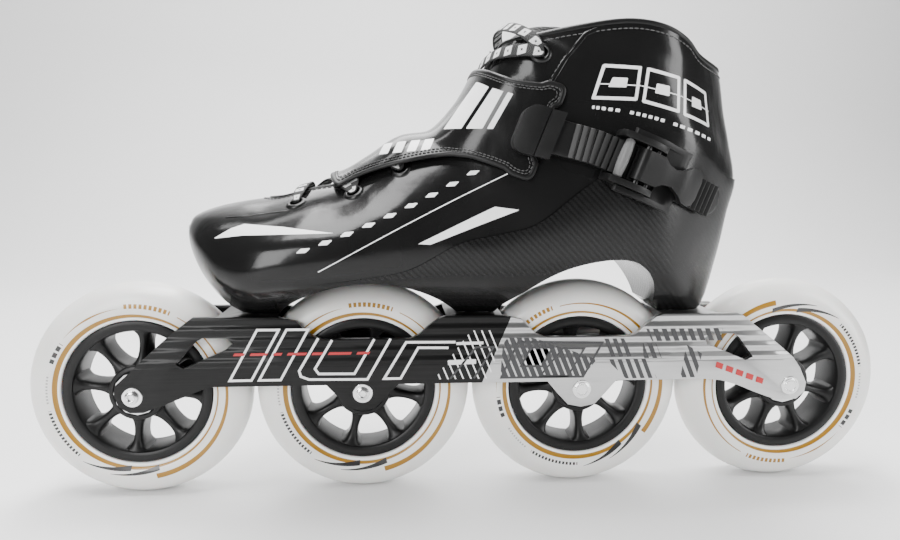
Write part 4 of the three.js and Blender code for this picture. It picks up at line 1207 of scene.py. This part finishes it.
def makeFrameInk():
    white = []
    for x in (-121, -106.8):
        white += stroke(slanted(x, 62.6, 88, 10.5), 1.15, True)
    bowl = [(-77.5, 83.6), (-87.2, 67), (-86.4, 64.2), (-82.5, 62.6), (-53.6, 62.2), (-42, 82.8)]
    white += stroke(bowl, 1.2)
    white += stroke([(-70.8, 82.6), (-79.4, 68), (-77.6, 65.4), (-60, 65.2), (-50, 82.8)], 1.2)
    white += stroke([(-13, 77.9), (-28.2, 78.1), (-37, 62.4), (-45.3, 62.4), (-34.2, 81), (-9.5, 80.8)], 1.2)
    white += stroke([(-9, 80), (4.6, 80.2)], 1.4) + stroke([(-13.2, 70.2), (1, 70.6)], 2.4)
    flatInk("rail_ink_white", white, "white", 2)

    pale = [(-20, 61.6), (8, 61.6), (12.6, 79), (9.2, 86.6), (-1.5, 86.6), (-7.5, 79)]
    flatInk("rail_hatch_pale", hatch(pale, 3.9, 0.75), "white")
    dark = []
    middle = [(13.5, 61.6), (56, 61.4), (67.5, 76), (66.5, 81.4), (30, 82.4), (19, 86.2), (14.5, 79)]
    dark += hatch(middle, 3.7, 2.7)
    dark += hatch([(79, 60.4), (95.5, 60.4), (90, 70.6), (68.5, 70.6)], 4.2, 2.3)
    dark += hatch([(70, 72), (83, 72), (77, 81.6), (65.4, 81.6)], 4.2, 2.3)
    dark += hatch([(92, 80), (131, 80), (129, 86.4), (88.6, 86.4)], 4.6, 2.7)
    dark += hatch([(88, 71), (97.6, 71), (94, 79), (87, 79)], 4.4, 2.5)
    dark += hatch([(108, 60.4), (116.6, 60.4), (119, 73), (110.4, 78)], 4.4, 2.5)
    flatInk("rail_hatch_dark", dark, "dark")
    lines = stroke([(22.3, 80.2), (66, 79.6), (56.5, 61.8), (14, 61.9)], 1.1, True)
    lines += stroke([(29, 77.4), (40.2, 77.3), (35.2, 67.5), (24, 67.7)], 1.0, True)
    lines += stroke([(45.4, 76.8), (56.6, 76.6), (48.5, 62.2), (34.2, 62.6)], 1.0, True)
    lines += stroke([(-12, 61.8), (1, 78), (10, 78), (0, 61.8)], 1.0)
    flatInk("rail_lines_dark", lines, "dark", 2)
    plate = [[(23.6, 68.4), (29.6, 76.6), (39, 76.6), (34.4, 68.4)]]
    red = []
    for x, width in ((-119, 6), (-111, 9), (-100, 5), (-93, 10), (-81, 6), (-73, 12), (-59, 7)):
        red.append([(x + 0.8, 76.4), (x + width, 76.4), (x + width - 0.8, 75.1), (x, 75.1)])
    for k in range(5):
        x, z = 126.5 + k * 5.6, 66.6 - k * 2.05
        red.append([(x + 0.6, z + 2.1), (x + 4.4, z + 0.7), (x + 3.8, z - 2.3), (x, z - 0.9)])
    flatInk("rail_ink_red", red, "red", 3)
    flatInk("rail_plate_pale", plate, "white", 1)


makeFrame(frameValues)
makeFrameInk()


def dressNodes(pairs):
    # finishes for the CAD nodes that stay
    for name, finish in pairs.items():
        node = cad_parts[name]
        if not node.data.materials:
            node.data.materials.append(finishes[finish])
        for slot in node.material_slots:
            slot.material = finishes[finish]


keptNodes = {"insole": "lining", "release_spring": "steel", "lever_pin": "eyelet", "release_pin": "eyelet"}
keptNodes.update({"buckle_nut": "steel", "buckle_mount": "nylon", "buckle_screw": "steel"})
for part in ("front", "middle", "rear"):
    keptNodes[f"mount_bolt_{part}"] = "steel"
    keptNodes[f"boot_insert_{part}"] = "steel"
for wheelIndex in (1, 2, 3, 4):
    keptNodes[f"bearing_{wheelIndex}_outer"] = "steel"
    keptNodes[f"bearing_{wheelIndex}_inner"] = "steel"
    keptNodes[f"bearing_spacer_{wheelIndex}"] = "steel"
dressNodes(keptNodes)
print("frame done")


# Soft pieces
def rounded(t, power):
    c, s = math.cos(t), math.sin(t)
    return math.copysign(abs(c) ** power, c), math.copysign(abs(s) ** power, s)


tongueValues = {"first": 4.0, "last": 19.3, "reach": 0.15, "top": -3.3, "thick": 3.9, "channels": 0.75}


def makeTongue(values):
    rings = []
    turns = np.linspace(0, 2 * math.pi, 56, endpoint=False)
    for u in np.linspace(values["first"], values["last"], 110):
        end = min(1.0, (values["last"] - u) / 0.35 + 0.02, (u - values["first"]) / 0.3 + 0.05)
        ease = math.sqrt(max(0.02, 1 - (1 - end) ** 2))
        sewnDip = 1 - 0.3 * math.exp(-((u / values["channels"]) % 1 - 0.5) ** 2 / 0.012)
        middle = values["top"] - values["thick"] / 2
        ring = []
        for t in turns:
            c, s = rounded(t, 0.75)
            puff = sewnDip if s > 0 else 1.0
            seam = 1 - 0.28 * math.exp(-(abs(c) - 0.82) ** 2 / 0.002)
            lift = middle + values["thick"] / 2 * ease * s * puff * seam
            place = np.array([c * values["reach"] * (0.8 + 0.2 * ease)])
            ring.append((bootPoints(np.array([u]), place) + bootNormals(np.array([u]), place) * lift)[0])
        rings.append(ring)
    tongue = makePiece("tongue_padded", *loft(rings), finishes["lining"], 60)
    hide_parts("tongue")
    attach(tongue, "skate")


padValues = {"first": 15.1, "reach": (0.205, 0.795), "top": -2.7, "thick": 4.6, "over": 1.0}


def makeCollarPad(values):
    rings = []
    turns = np.linspace(0, 2 * math.pi, 48, endpoint=False)
    tries = np.linspace(values["first"], 20, 120)
    for share in np.linspace(0, 1, 90):
        v = values["reach"][0] + (values["reach"][1] - values["reach"][0]) * share
        column = bootPoints(tries, v)
        under = column[:, 2] < heightAt(collarLine, column[:, 0]) + values["over"]
        last = tries[under].max()
        ease = math.sqrt(max(0.03, 1 - (1 - min(1, share / 0.04, (1 - share) / 0.04)) ** 2))
        ring = []
        for t in turns:
            c, s = rounded(t, 0.7)
            u = (values["first"] + last) / 2 + (last - values["first"]) / 2 * c
            row = 1 - 0.22 * math.exp(-((u * 0.9) % 1 - 0.5) ** 2 / 0.01) if s < 0 else 1.0
            lift = values["top"] - values["thick"] / 2 + values["thick"] / 2 * ease * s * row
            place = (np.array([u]), np.array([v]))
            ring.append((bootPoints(*place) + bootNormals(*place) * lift)[0])
        rings.append(ring)
    pad = makePiece("collar_pad_quilted", *loft(rings), finishes["lining"], 60)
    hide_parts("collar_pad")
    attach(pad, "skate")


# The lace's own route: section, place round it and any extra lift
laceRoute = np.array([
    (4.75, 0.118, 0), (4.78, 0.06, 0), (4.8, 0, 0), (4.78, -0.06, 0), (4.75, -0.118, 0),
    (5.2, -0.07, 0), (5.6, 0, 0), (6, 0.07, 0), (6.35, 0.128, 0),
    (6.4, 0.06, 0), (6.4, 0, 0), (6.4, -0.06, 0), (6.35, -0.128, 0),
    (6.7, -0.07, 0), (7.1, 0, 0), (7.4, 0.07, 0), (7.75, 0.128, 0),
    (7.8, 0.06, 0), (7.8, 0, 0), (7.8, -0.06, 0), (7.75, -0.128, 0),
    (9, -0.09, 0), (10.6, -0.04, 0), (12.2, 0.04, 0), (13.3, 0.08, 0), (14.1, 0.11, 1), (14.85, 0.132, 1.5),
    (15.7, 0.085, 1), (16.4, 0.03, 1), (16.4, -0.03, 1), (15.7, -0.085, 1), (14.85, -0.132, 1.5),
])
laceValues = {"lift": 2.0, "halfWidth": 3.1, "halfHeight": 0.55, "pinch": 0.5}


def makeLace(values):
    steps = np.linspace(0, len(laceRoute) - 1, 360)
    route = curveThrough(laceRoute, steps)
    lifts = values["lift"] + route[:, 2]
    # narrow and low where it dives into an eyelet
    near = np.zeros(len(route))
    for u, v in upperValues["eyelets"]:
        for place in (v, -v):
            far = np.hypot((route[:, 0] - u) * 13, (route[:, 1] - place) * 150)
            near = np.maximum(near, np.exp(-(far / 3.4) ** 2))
    lifts = lifts * (1 - 0.6 * near)
    normals = bootNormals(route[:, 0], route[:, 1])
    path = bootPoints(route[:, 0], route[:, 1]) + normals * lifts[:, None]
    width = values["halfWidth"] * (1 - values["pinch"] * near)
    sides = 12
    points, faces = sweep(path, normals, width, values["halfHeight"], sides, power=0.6)
    lace = makePiece("lace_band", points, faces, finishes["lace"], 60)
    run = np.r_[0, np.cumsum(np.linalg.norm(np.diff(path, axis=0), axis=1))]
    across = [(1 + math.cos(2 * math.pi * k / sides)) * 3 for k in range(sides)]
    layer = lace.data.uv_layers.new(name="along")
    for loop in lace.data.loops:
        ring, side = divmod(loop.vertex_index, sides)
        layer.data[loop.index].uv = (run[ring] * mm, across[side] * mm)
    print("lace", round(run[-1] / 1000, 3), "m")
    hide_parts("lace")
    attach(lace, "skate")


# radius and height over the upper, mm
eyeletProfile = (
    (2.7, -1.2), (2.72, 0.35), (3.1, 0.85), (3.7, 1.0), (4.4, 0.75), (4.95, 0.25), (5.1, -0.1), (4.9, -0.3),
)


def makeEyelets():
    for row, (u, v) in enumerate(upperValues["eyelets"], 1):
        for side, place in (("outer", v), ("inner", -v)):
            at = (np.array([u]), np.array([place]))
            middle, normal = bootPoints(*at)[0], bootNormals(*at)[0]
            points, faces = lathe(eyeletProfile, (0, 0), 40)
            turn = Vector((0, 1, 0)).rotation_difference(Vector(normal)).to_matrix()
            points = [tuple(turn @ Vector(p) + Vector(middle)) for p in points]
            name = f"eyelet_rolled_{side}_{row}"
            ring = makePiece(name, points, facedOut(points, faces), finishes["eyelet"], 60)
            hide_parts(f"eyelet_{side}_{row}")
            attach(ring, "skate")


makeTongue(tongueValues)
makeCollarPad(padValues)
makeLace(laceValues)
makeEyelets()
print("lining, lace and eyelets done")


# Instep strap
flapValues = {"hug": 1.0, "arch": 2.3, "spread": 0.17, "thick": 1.5, "edge": 1.5}
flapEdge = [
    (-66, 158), (-58, 162.4), (-50, 165.6), (-43, 167.8), (-36, 169.6), (-29, 171.2), (-23, 172.3),
    (-14, 173.4), (-4.6, 172.6), (4.9, 169.6), (11.5, 167.2), (12.6, 165.2), (21.4, 162.4), (24.6, 169.6),
    (22.6, 171.4), (31.6, 195.4), (34, 195), (36.6, 202.6), (28.6, 205), (27.4, 203.6), (20, 204.4),
    (13.5, 205.6), (8.8, 207.6), (4.4, 210.2), (0, 213.4), (-12, 222), (-50, 200), (-80, 176),
]


def blendFlap(piece):
    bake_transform(piece)


def makeFlap(values):
    points, faces = bootSheet((5.2, 19), (-0.32, 0.32), 150, 120)
    lift = values["hug"] + values["arch"] * np.exp(-(points[:, 4] / values["spread"]) ** 4)
    points[:, :3] += points[:, 5:8] * lift[:, None]
    body = clipSheet(points, faces, lambda p: inside(flapEdge, p[:, 0], p[:, 2]))
    corners = body[0][body[1], :3]
    doubled = np.cross(corners[:, 1] - corners[:, 0], corners[:, 2] - corners[:, 0])
    area = np.linalg.norm(doubled, axis=1).sum() / 2
    print("instep strap", round(area / 100, 1), "cm2 of sheet")
    solidPoints, solidFaces = thicken(*body, 0.0, values["thick"])
    flap = makePiece("instep_strap_patent", solidPoints, solidFaces, finishes["patent"], 50)
    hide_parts("instep_strap")
    blendFlap(flap)

    parts = []
    for loop in borders(body[1]):
        if len(loop) < 40:
            continue
        edge = body[0][loop]
        middle = edge[:, :3] + edge[:, 5:8] * values["thick"] / 2
        path = smoothed(resampled(np.column_stack([middle, edge[:, 5:8]]), 0.9, True), 2, True)
        parts.append(sweep(path[:, :3], path[:, 3:6], values["edge"], values["thick"] / 2 + 0.28, 10, True))
    binding = makePiece("instep_strap_binding", *joinParts(*parts), finishes["binding"], 60)
    blendFlap(binding)

    blank = stitchBlank(1.5, 0.24)
    rows = []
    for inset in (1.0, 2.0):
        inner = clipSheet(*body, lambda p: inside(flapEdge, p[:, 0], p[:, 2]) - inset)
        for loop in borders(inner[1]):
            if len(loop) > 40:
                edge = inner[0][loop]
                ring = edge[:, :3] + edge[:, 5:8] * (values["thick"] + 0.28)
                rows.append(smoothed(resampled(ring, 1.0, True), 3, True))
    stitches = makeRow("instep_strap_stitches", rows, blank, 1.9, (0, 0, 1), finishes["thread"], 60)
    blendFlap(stitches)
    bpy.data.objects.remove(blank)
    outer = body[0][:, :3] + body[0][:, 5:8] * values["thick"]
    return BVHTree.FromPolygons([Vector(p) for p in outer], body[1].tolist())


flapTree = makeFlap(flapValues)
print("instep strap done")


# Printed shapes on the boot
def printOn(tree, polygons, side, step=0.45, low=-0.1, high=0.07):
    parts = []
    for polygon in polygons:
        polygon = np.asarray(polygon, float)
        (x0, z0), (x1, z1) = polygon.min(axis=0) - step, polygon.max(axis=0) + step
        nx, nz = int((x1 - x0) / step) + 2, int((z1 - z0) / step) + 2
        rows, known = [], []
        for x in np.linspace(x0, x1, nx):
            for z in np.linspace(z0, z1, nz):
                hit = tree.ray_cast(Vector((x, side * 120, z)), Vector((0, -side, 0)))
                known.append(hit[0] is not None and hit[0].y * side > -8)
                normal = hit[1] if hit[0] else Vector((0, side, 0))
                normal = normal if normal.y * side > 0 else -normal
                rows.append((x, hit[0].y if hit[0] else 0, z, 0, 0, *normal))
        faces = []
        for i in range(nx - 1):
            for j in range(nz - 1):
                a, b, c, d = i * nz + j, (i + 1) * nz + j, (i + 1) * nz + j + 1, i * nz + j + 1
                if known[a] and known[b] and known[c] and known[d]:
                    quad = (a, b, c, d) if side < 0 else (d, c, b, a)
                    faces += [(quad[0], quad[1], quad[2]), (quad[0], quad[2], quad[3])]
        if not faces:
            continue
        sheet = (np.array(rows), np.array(faces))
        points, faces = clipSheet(*sheet, lambda p: inside(polygon, p[:, 0], p[:, 2]))
        if len(faces):
            parts.append(thicken(points, faces, low, high))
    return joinParts(*parts)


def makeBootInk():
    shapes = []
    for x in np.linspace(-79.7, -3.7, 9):
        z = 130.3 + (x + 79.7) * 0.454 + ((x + 41.7) / 38) ** 2 * 2.1 - 2.1
        shapes.append([(x - 3.2, z - 1.1), (x - 1.1, z + 0.9), (x + 3.3, z + 1.3), (x + 1.1, z - 0.8)])
    shapes += stroke(curveThrough(np.array([(-73.4, 120.9), (-37.2, 140.2), (13.4, 165.3)], float),
                                  np.linspace(0, 2, 9)), 0.45)
    shapes.append([(-29.2, 133), (-23.6, 132.6), (17.5, 148.2), (6, 149.6)])
    shapes.append([(-122, 134.3), (-108, 136.2), (-90, 137), (-66, 137.8), (-90, 140.2), (-107.9, 141),
                   (-114, 139)])
    outlines = (
        [(54.6, 213), (71.5, 212.4), (69.5, 198.4), (50, 198.8)],
        [(75.5, 212), (91.5, 209), (91, 193.6), (73.2, 197.6)],
        [(95.2, 208), (109.5, 203.6), (111, 188.2), (94.6, 192.4)],
    )
    for corners in outlines:
        shapes += stroke(corners, 1.5, True)
        middle = np.mean(corners, axis=0)
        shapes.append([tuple(middle + (np.array(c) - middle) * (0.42, 0.3)) for c in corners])
    shapes += stroke([(51, 205), (72, 204.4), (92, 200.8), (112, 195)], 0.5)
    base = curveThrough(np.array([(49.5, 194.6), (69.1, 192.2), (89.6, 187.6), (116, 180.4)], float),
                        np.linspace(0, 3, 21))
    for k in range(20):
        if k % 7 != 5:
            shapes += stroke([base[k], base[k] + (base[k + 1] - base[k]) * 0.62], 1.5)
    for side, name in ((-1, "outer"), (1, "inner")):
        ink = makePiece(f"boot_ink_{name}", *printOn(upperTree, shapes, side), finishes["white"], 60)
        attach(ink, "skate")
    stripes = [
        [(-1.0, 207.2), (3.6, 203.8), (-8.8, 185), (-16.4, 185.2)],
        [(5.2, 203.2), (9.6, 201.4), (0.4, 184.8), (-6.8, 184.9)],
        [(11.6, 201), (13.9, 200.2), (5.1, 184.6), (2.4, 184.7)],
    ]
    for x in (-47, -40.5, -34, -27.5):
        stripes.append([(x, 173.2 + (x + 47) * 0.09), (x + 4.2, 173.6 + (x + 47) * 0.09),
                        (x + 6.6, 179 + (x + 47) * 0.09), (x + 2.4, 178.6 + (x + 47) * 0.09)])
    for side, name in ((-1, "outer"), (1, "inner")):
        ink = makePiece(f"strap_ink_{name}", *printOn(flapTree, stripes, side), finishes["white"], 60)
        blendFlap(ink)


makeBootInk()
print("print done")


# Ratchet strap and buckle
# angles in degrees; toe side of dropStart, the strap falls by drop less for each mm
strapValues = {
    "centre": (43.5, 102, 178.5), "radius": 150, "tilt": 21, "buckle": 8.7, "dropStart": 6, "drop": 0.12,
}
ladderValues = {
    "first": -17, "last": 82, "half": 7.8, "thick": 2.0, "tooth": 1.2, "pitch": 3.2, "toothFirst": -3.6,
    "round": 8,
}


def strapPlace(along, out, across, inBuckle=False):
    angle = along / strapValues["radius"] + (math.radians(strapValues["buckle"]) if inBuckle else 0)
    reach = strapValues["radius"] + out
    x, y = reach * math.sin(angle), -reach * math.cos(angle)
    if not inBuckle:
        across -= max(0, strapValues["dropStart"] - x) * strapValues["drop"]
    tilt = math.radians(strapValues["tilt"])
    cx, cy, cz = strapValues["centre"]
    return np.array((cx + x * math.cos(tilt) + across * math.sin(tilt), cy + y,
                     cz - x * math.sin(tilt) + across * math.cos(tilt)))


def strapOut(along, inBuckle=False):
    return strapPlace(along, 1, 0, inBuckle) - strapPlace(along, 0, 0, inBuckle)


strapAcross = strapPlace(0, 0, 1, True) - strapPlace(0, 0, 0, True)


def makeLadder(values):
    tail = values["last"] - values["round"]
    alongs = np.r_[np.arange(values["first"], tail, 1.5), np.linspace(tail, values["last"], 12)]
    path = np.array([strapPlace(a, values["thick"] / 2, 0) for a in alongs])
    outs = np.array([strapOut(a) for a in alongs])
    start = values["last"] - values["half"]
    widths = [math.sqrt(max(0.4, values["half"] ** 2 - max(0, a - start) ** 2)) for a in alongs]
    parts = [sweep(path, outs, widths, values["thick"] / 2, 16, power=0.35)]
    strap = makePiece("ladder_moulded", *joinParts(*parts), finishes["nylon"], 40)
    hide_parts("ladder_strap")

    half, high, length = values["half"] - 0.25, values["tooth"], values["pitch"] * 0.92
    side = [(-length / 2, 0.3), (length / 2, 0.3), (length / 2, -high * 0.75), (length / 2 - 0.35, -high),
            (length / 2 - 0.8, -high), (-length / 2, -0.1)]
    points = [(x, y, -half) for x, y in side] + [(x, y, half) for x, y in side]
    n = len(side)
    faces = [tuple(range(n)), tuple(reversed(range(n, 2 * n)))]
    faces += [(j, n + j, n + (j + 1) % n, (j + 1) % n) for j in range(n)]
    blank = makePiece("tooth_blank", points, facedOut(points, faces), finishes["nylon"], 30)
    bevelled(blank, 0.16, 1, 20, 30)
    toothed = np.arange(values["toothFirst"], values["last"] - 6.5, 0.8)
    marks = [strapPlace(a, values["thick"], 0) for a in toothed]
    teeth = makeRow("ladder_teeth", [marks], blank, values["pitch"], strapAcross, finishes["nylon"], 30)
    bpy.data.objects.remove(blank)
    for piece in (strap, teeth):
        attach(piece, "strap_end")


# radius and place along its axis, mm
rollerProfile = (
    (0.01, -11.4), (1.0, -11.4), (1.0, -8.5), (1.7, -8.4), (2.05, -8), (2.45, -3), (2.5, 0), (2.45, 3),
    (2.05, 8), (1.7, 8.4), (1.0, 8.5), (1.0, 11.4), (0.01, 11.4),
)
rollerPlace = {"along": -5, "out": 6.3}


def makeBuckle():
    pieces = (
        ("strap_end_cap", "strap_end_cap_moulded", "strap_end", 1.1, 4),
        ("strap_sleeve", "strap_sleeve_moulded", "strap_end", 0.6, 3),
        ("buckle_base", "buckle_body_moulded", "skate", 0.45, 3),
        ("buckle_lever", "buckle_lever_moulded", "lever", 0.7, 4),
        ("buckle_release", "buckle_release_moulded", "release", 0.5, 3),
    )
    for node, name, body, width, segments in pieces:
        piece = fromNode(node, name, finishes["nylon"], width, segments)
        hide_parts(node)
        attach(piece, body)
    # the roller that the ladder passes under
    points, faces = lathe(rollerProfile, (0, 0), 40)
    axis = strapAcross
    out = strapOut(0, True)
    along = np.cross(axis, out)
    centre = strapPlace(0, rollerPlace["out"], 0, True) + along * rollerPlace["along"]
    points = [tuple(centre + along * x + axis * y + out * z) for x, y, z in points]
    roller = makePiece("strap_roller", points, facedOut(points, faces), finishes["roller"], 40)
    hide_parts("strap_bar")
    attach(roller, "skate")


makeLadder(ladderValues)
makeBuckle()
print("buckle done")


stageValues = {"half": 3000, "back": 700, "bend": 700, "height": 2500}


def makeStage(values):
    turns = np.linspace(0, math.pi / 2, 32)
    profile = [(-values["half"], 0)]
    back, bend = values["back"], values["bend"]
    profile += [(back + bend * math.sin(t), bend * (1 - math.cos(t))) for t in turns]
    profile.append((back + bend, values["height"]))
    points = [(side * values["half"], y, z) for y, z in profile for side in (-1, 1)]
    faces = [(2 * k, 2 * k + 1, 2 * k + 3, 2 * k + 2) for k in range(len(profile) - 1)]
    makePiece("floor", points, faces, floorFinish(), 60)


def floorFinish():
    finish = Finish("floor_pale")
    finish.feed("Base Color", finish.mix(finish.noise(3, 3), grey(0.74), grey(0.78)))
    finish.feed("Roughness", finish.between(finish.noise(40, 2), 0.5, 0.6))
    return finish.material


# size in mm, power in watts, place and what it looks at in mm
lightValues = {
    "overhead": {"size": (1000, 420), "power": 32, "place": (-160, 60, 1100), "aim": (0, 0, 120)},
    "front_left": {"size": (420, 760), "power": 17, "place": (-700, -1050, 560), "aim": (-60, 0, 120)},
    "front_right": {"size": (300, 760), "power": 9, "place": (1000, -420, 380), "aim": (60, 0, 120)},
    "behind": {"size": (1200, 500), "power": 10, "place": (100, 900, 900), "aim": (0, 0, 150)},
    "backdrop": {"size": (2400, 400), "power": 34, "place": (0, 450, 1500), "aim": (0, 1400, 500)},
}


def makeLights(values):
    for name, value in values.items():
        data = bpy.data.lights.new(name, "AREA")
        data.shape = "RECTANGLE"
        data.size, data.size_y = (side * mm for side in value["size"])
        data.energy = value["power"]
        light = bpy.data.objects.new(name, data)
        place, aim = Vector(value["place"]) * mm, Vector(value["aim"]) * mm
        turn = (aim - place).to_track_quat("-Z", "Y").to_matrix().to_4x4()
        light.matrix_world = Matrix.Translation(place) @ turn
        scene.collection.objects.link(light)
    world = bpy.data.worlds.new("studio")
    world.use_nodes = True
    back = next(n for n in world.node_tree.nodes if n.type == "BACKGROUND")
    back.inputs["Color"].default_value = grey(0.9)
    back.inputs["Strength"].default_value = 0.2
    scene.world = world


makeStage(stageValues)
makeLights(lightValues)
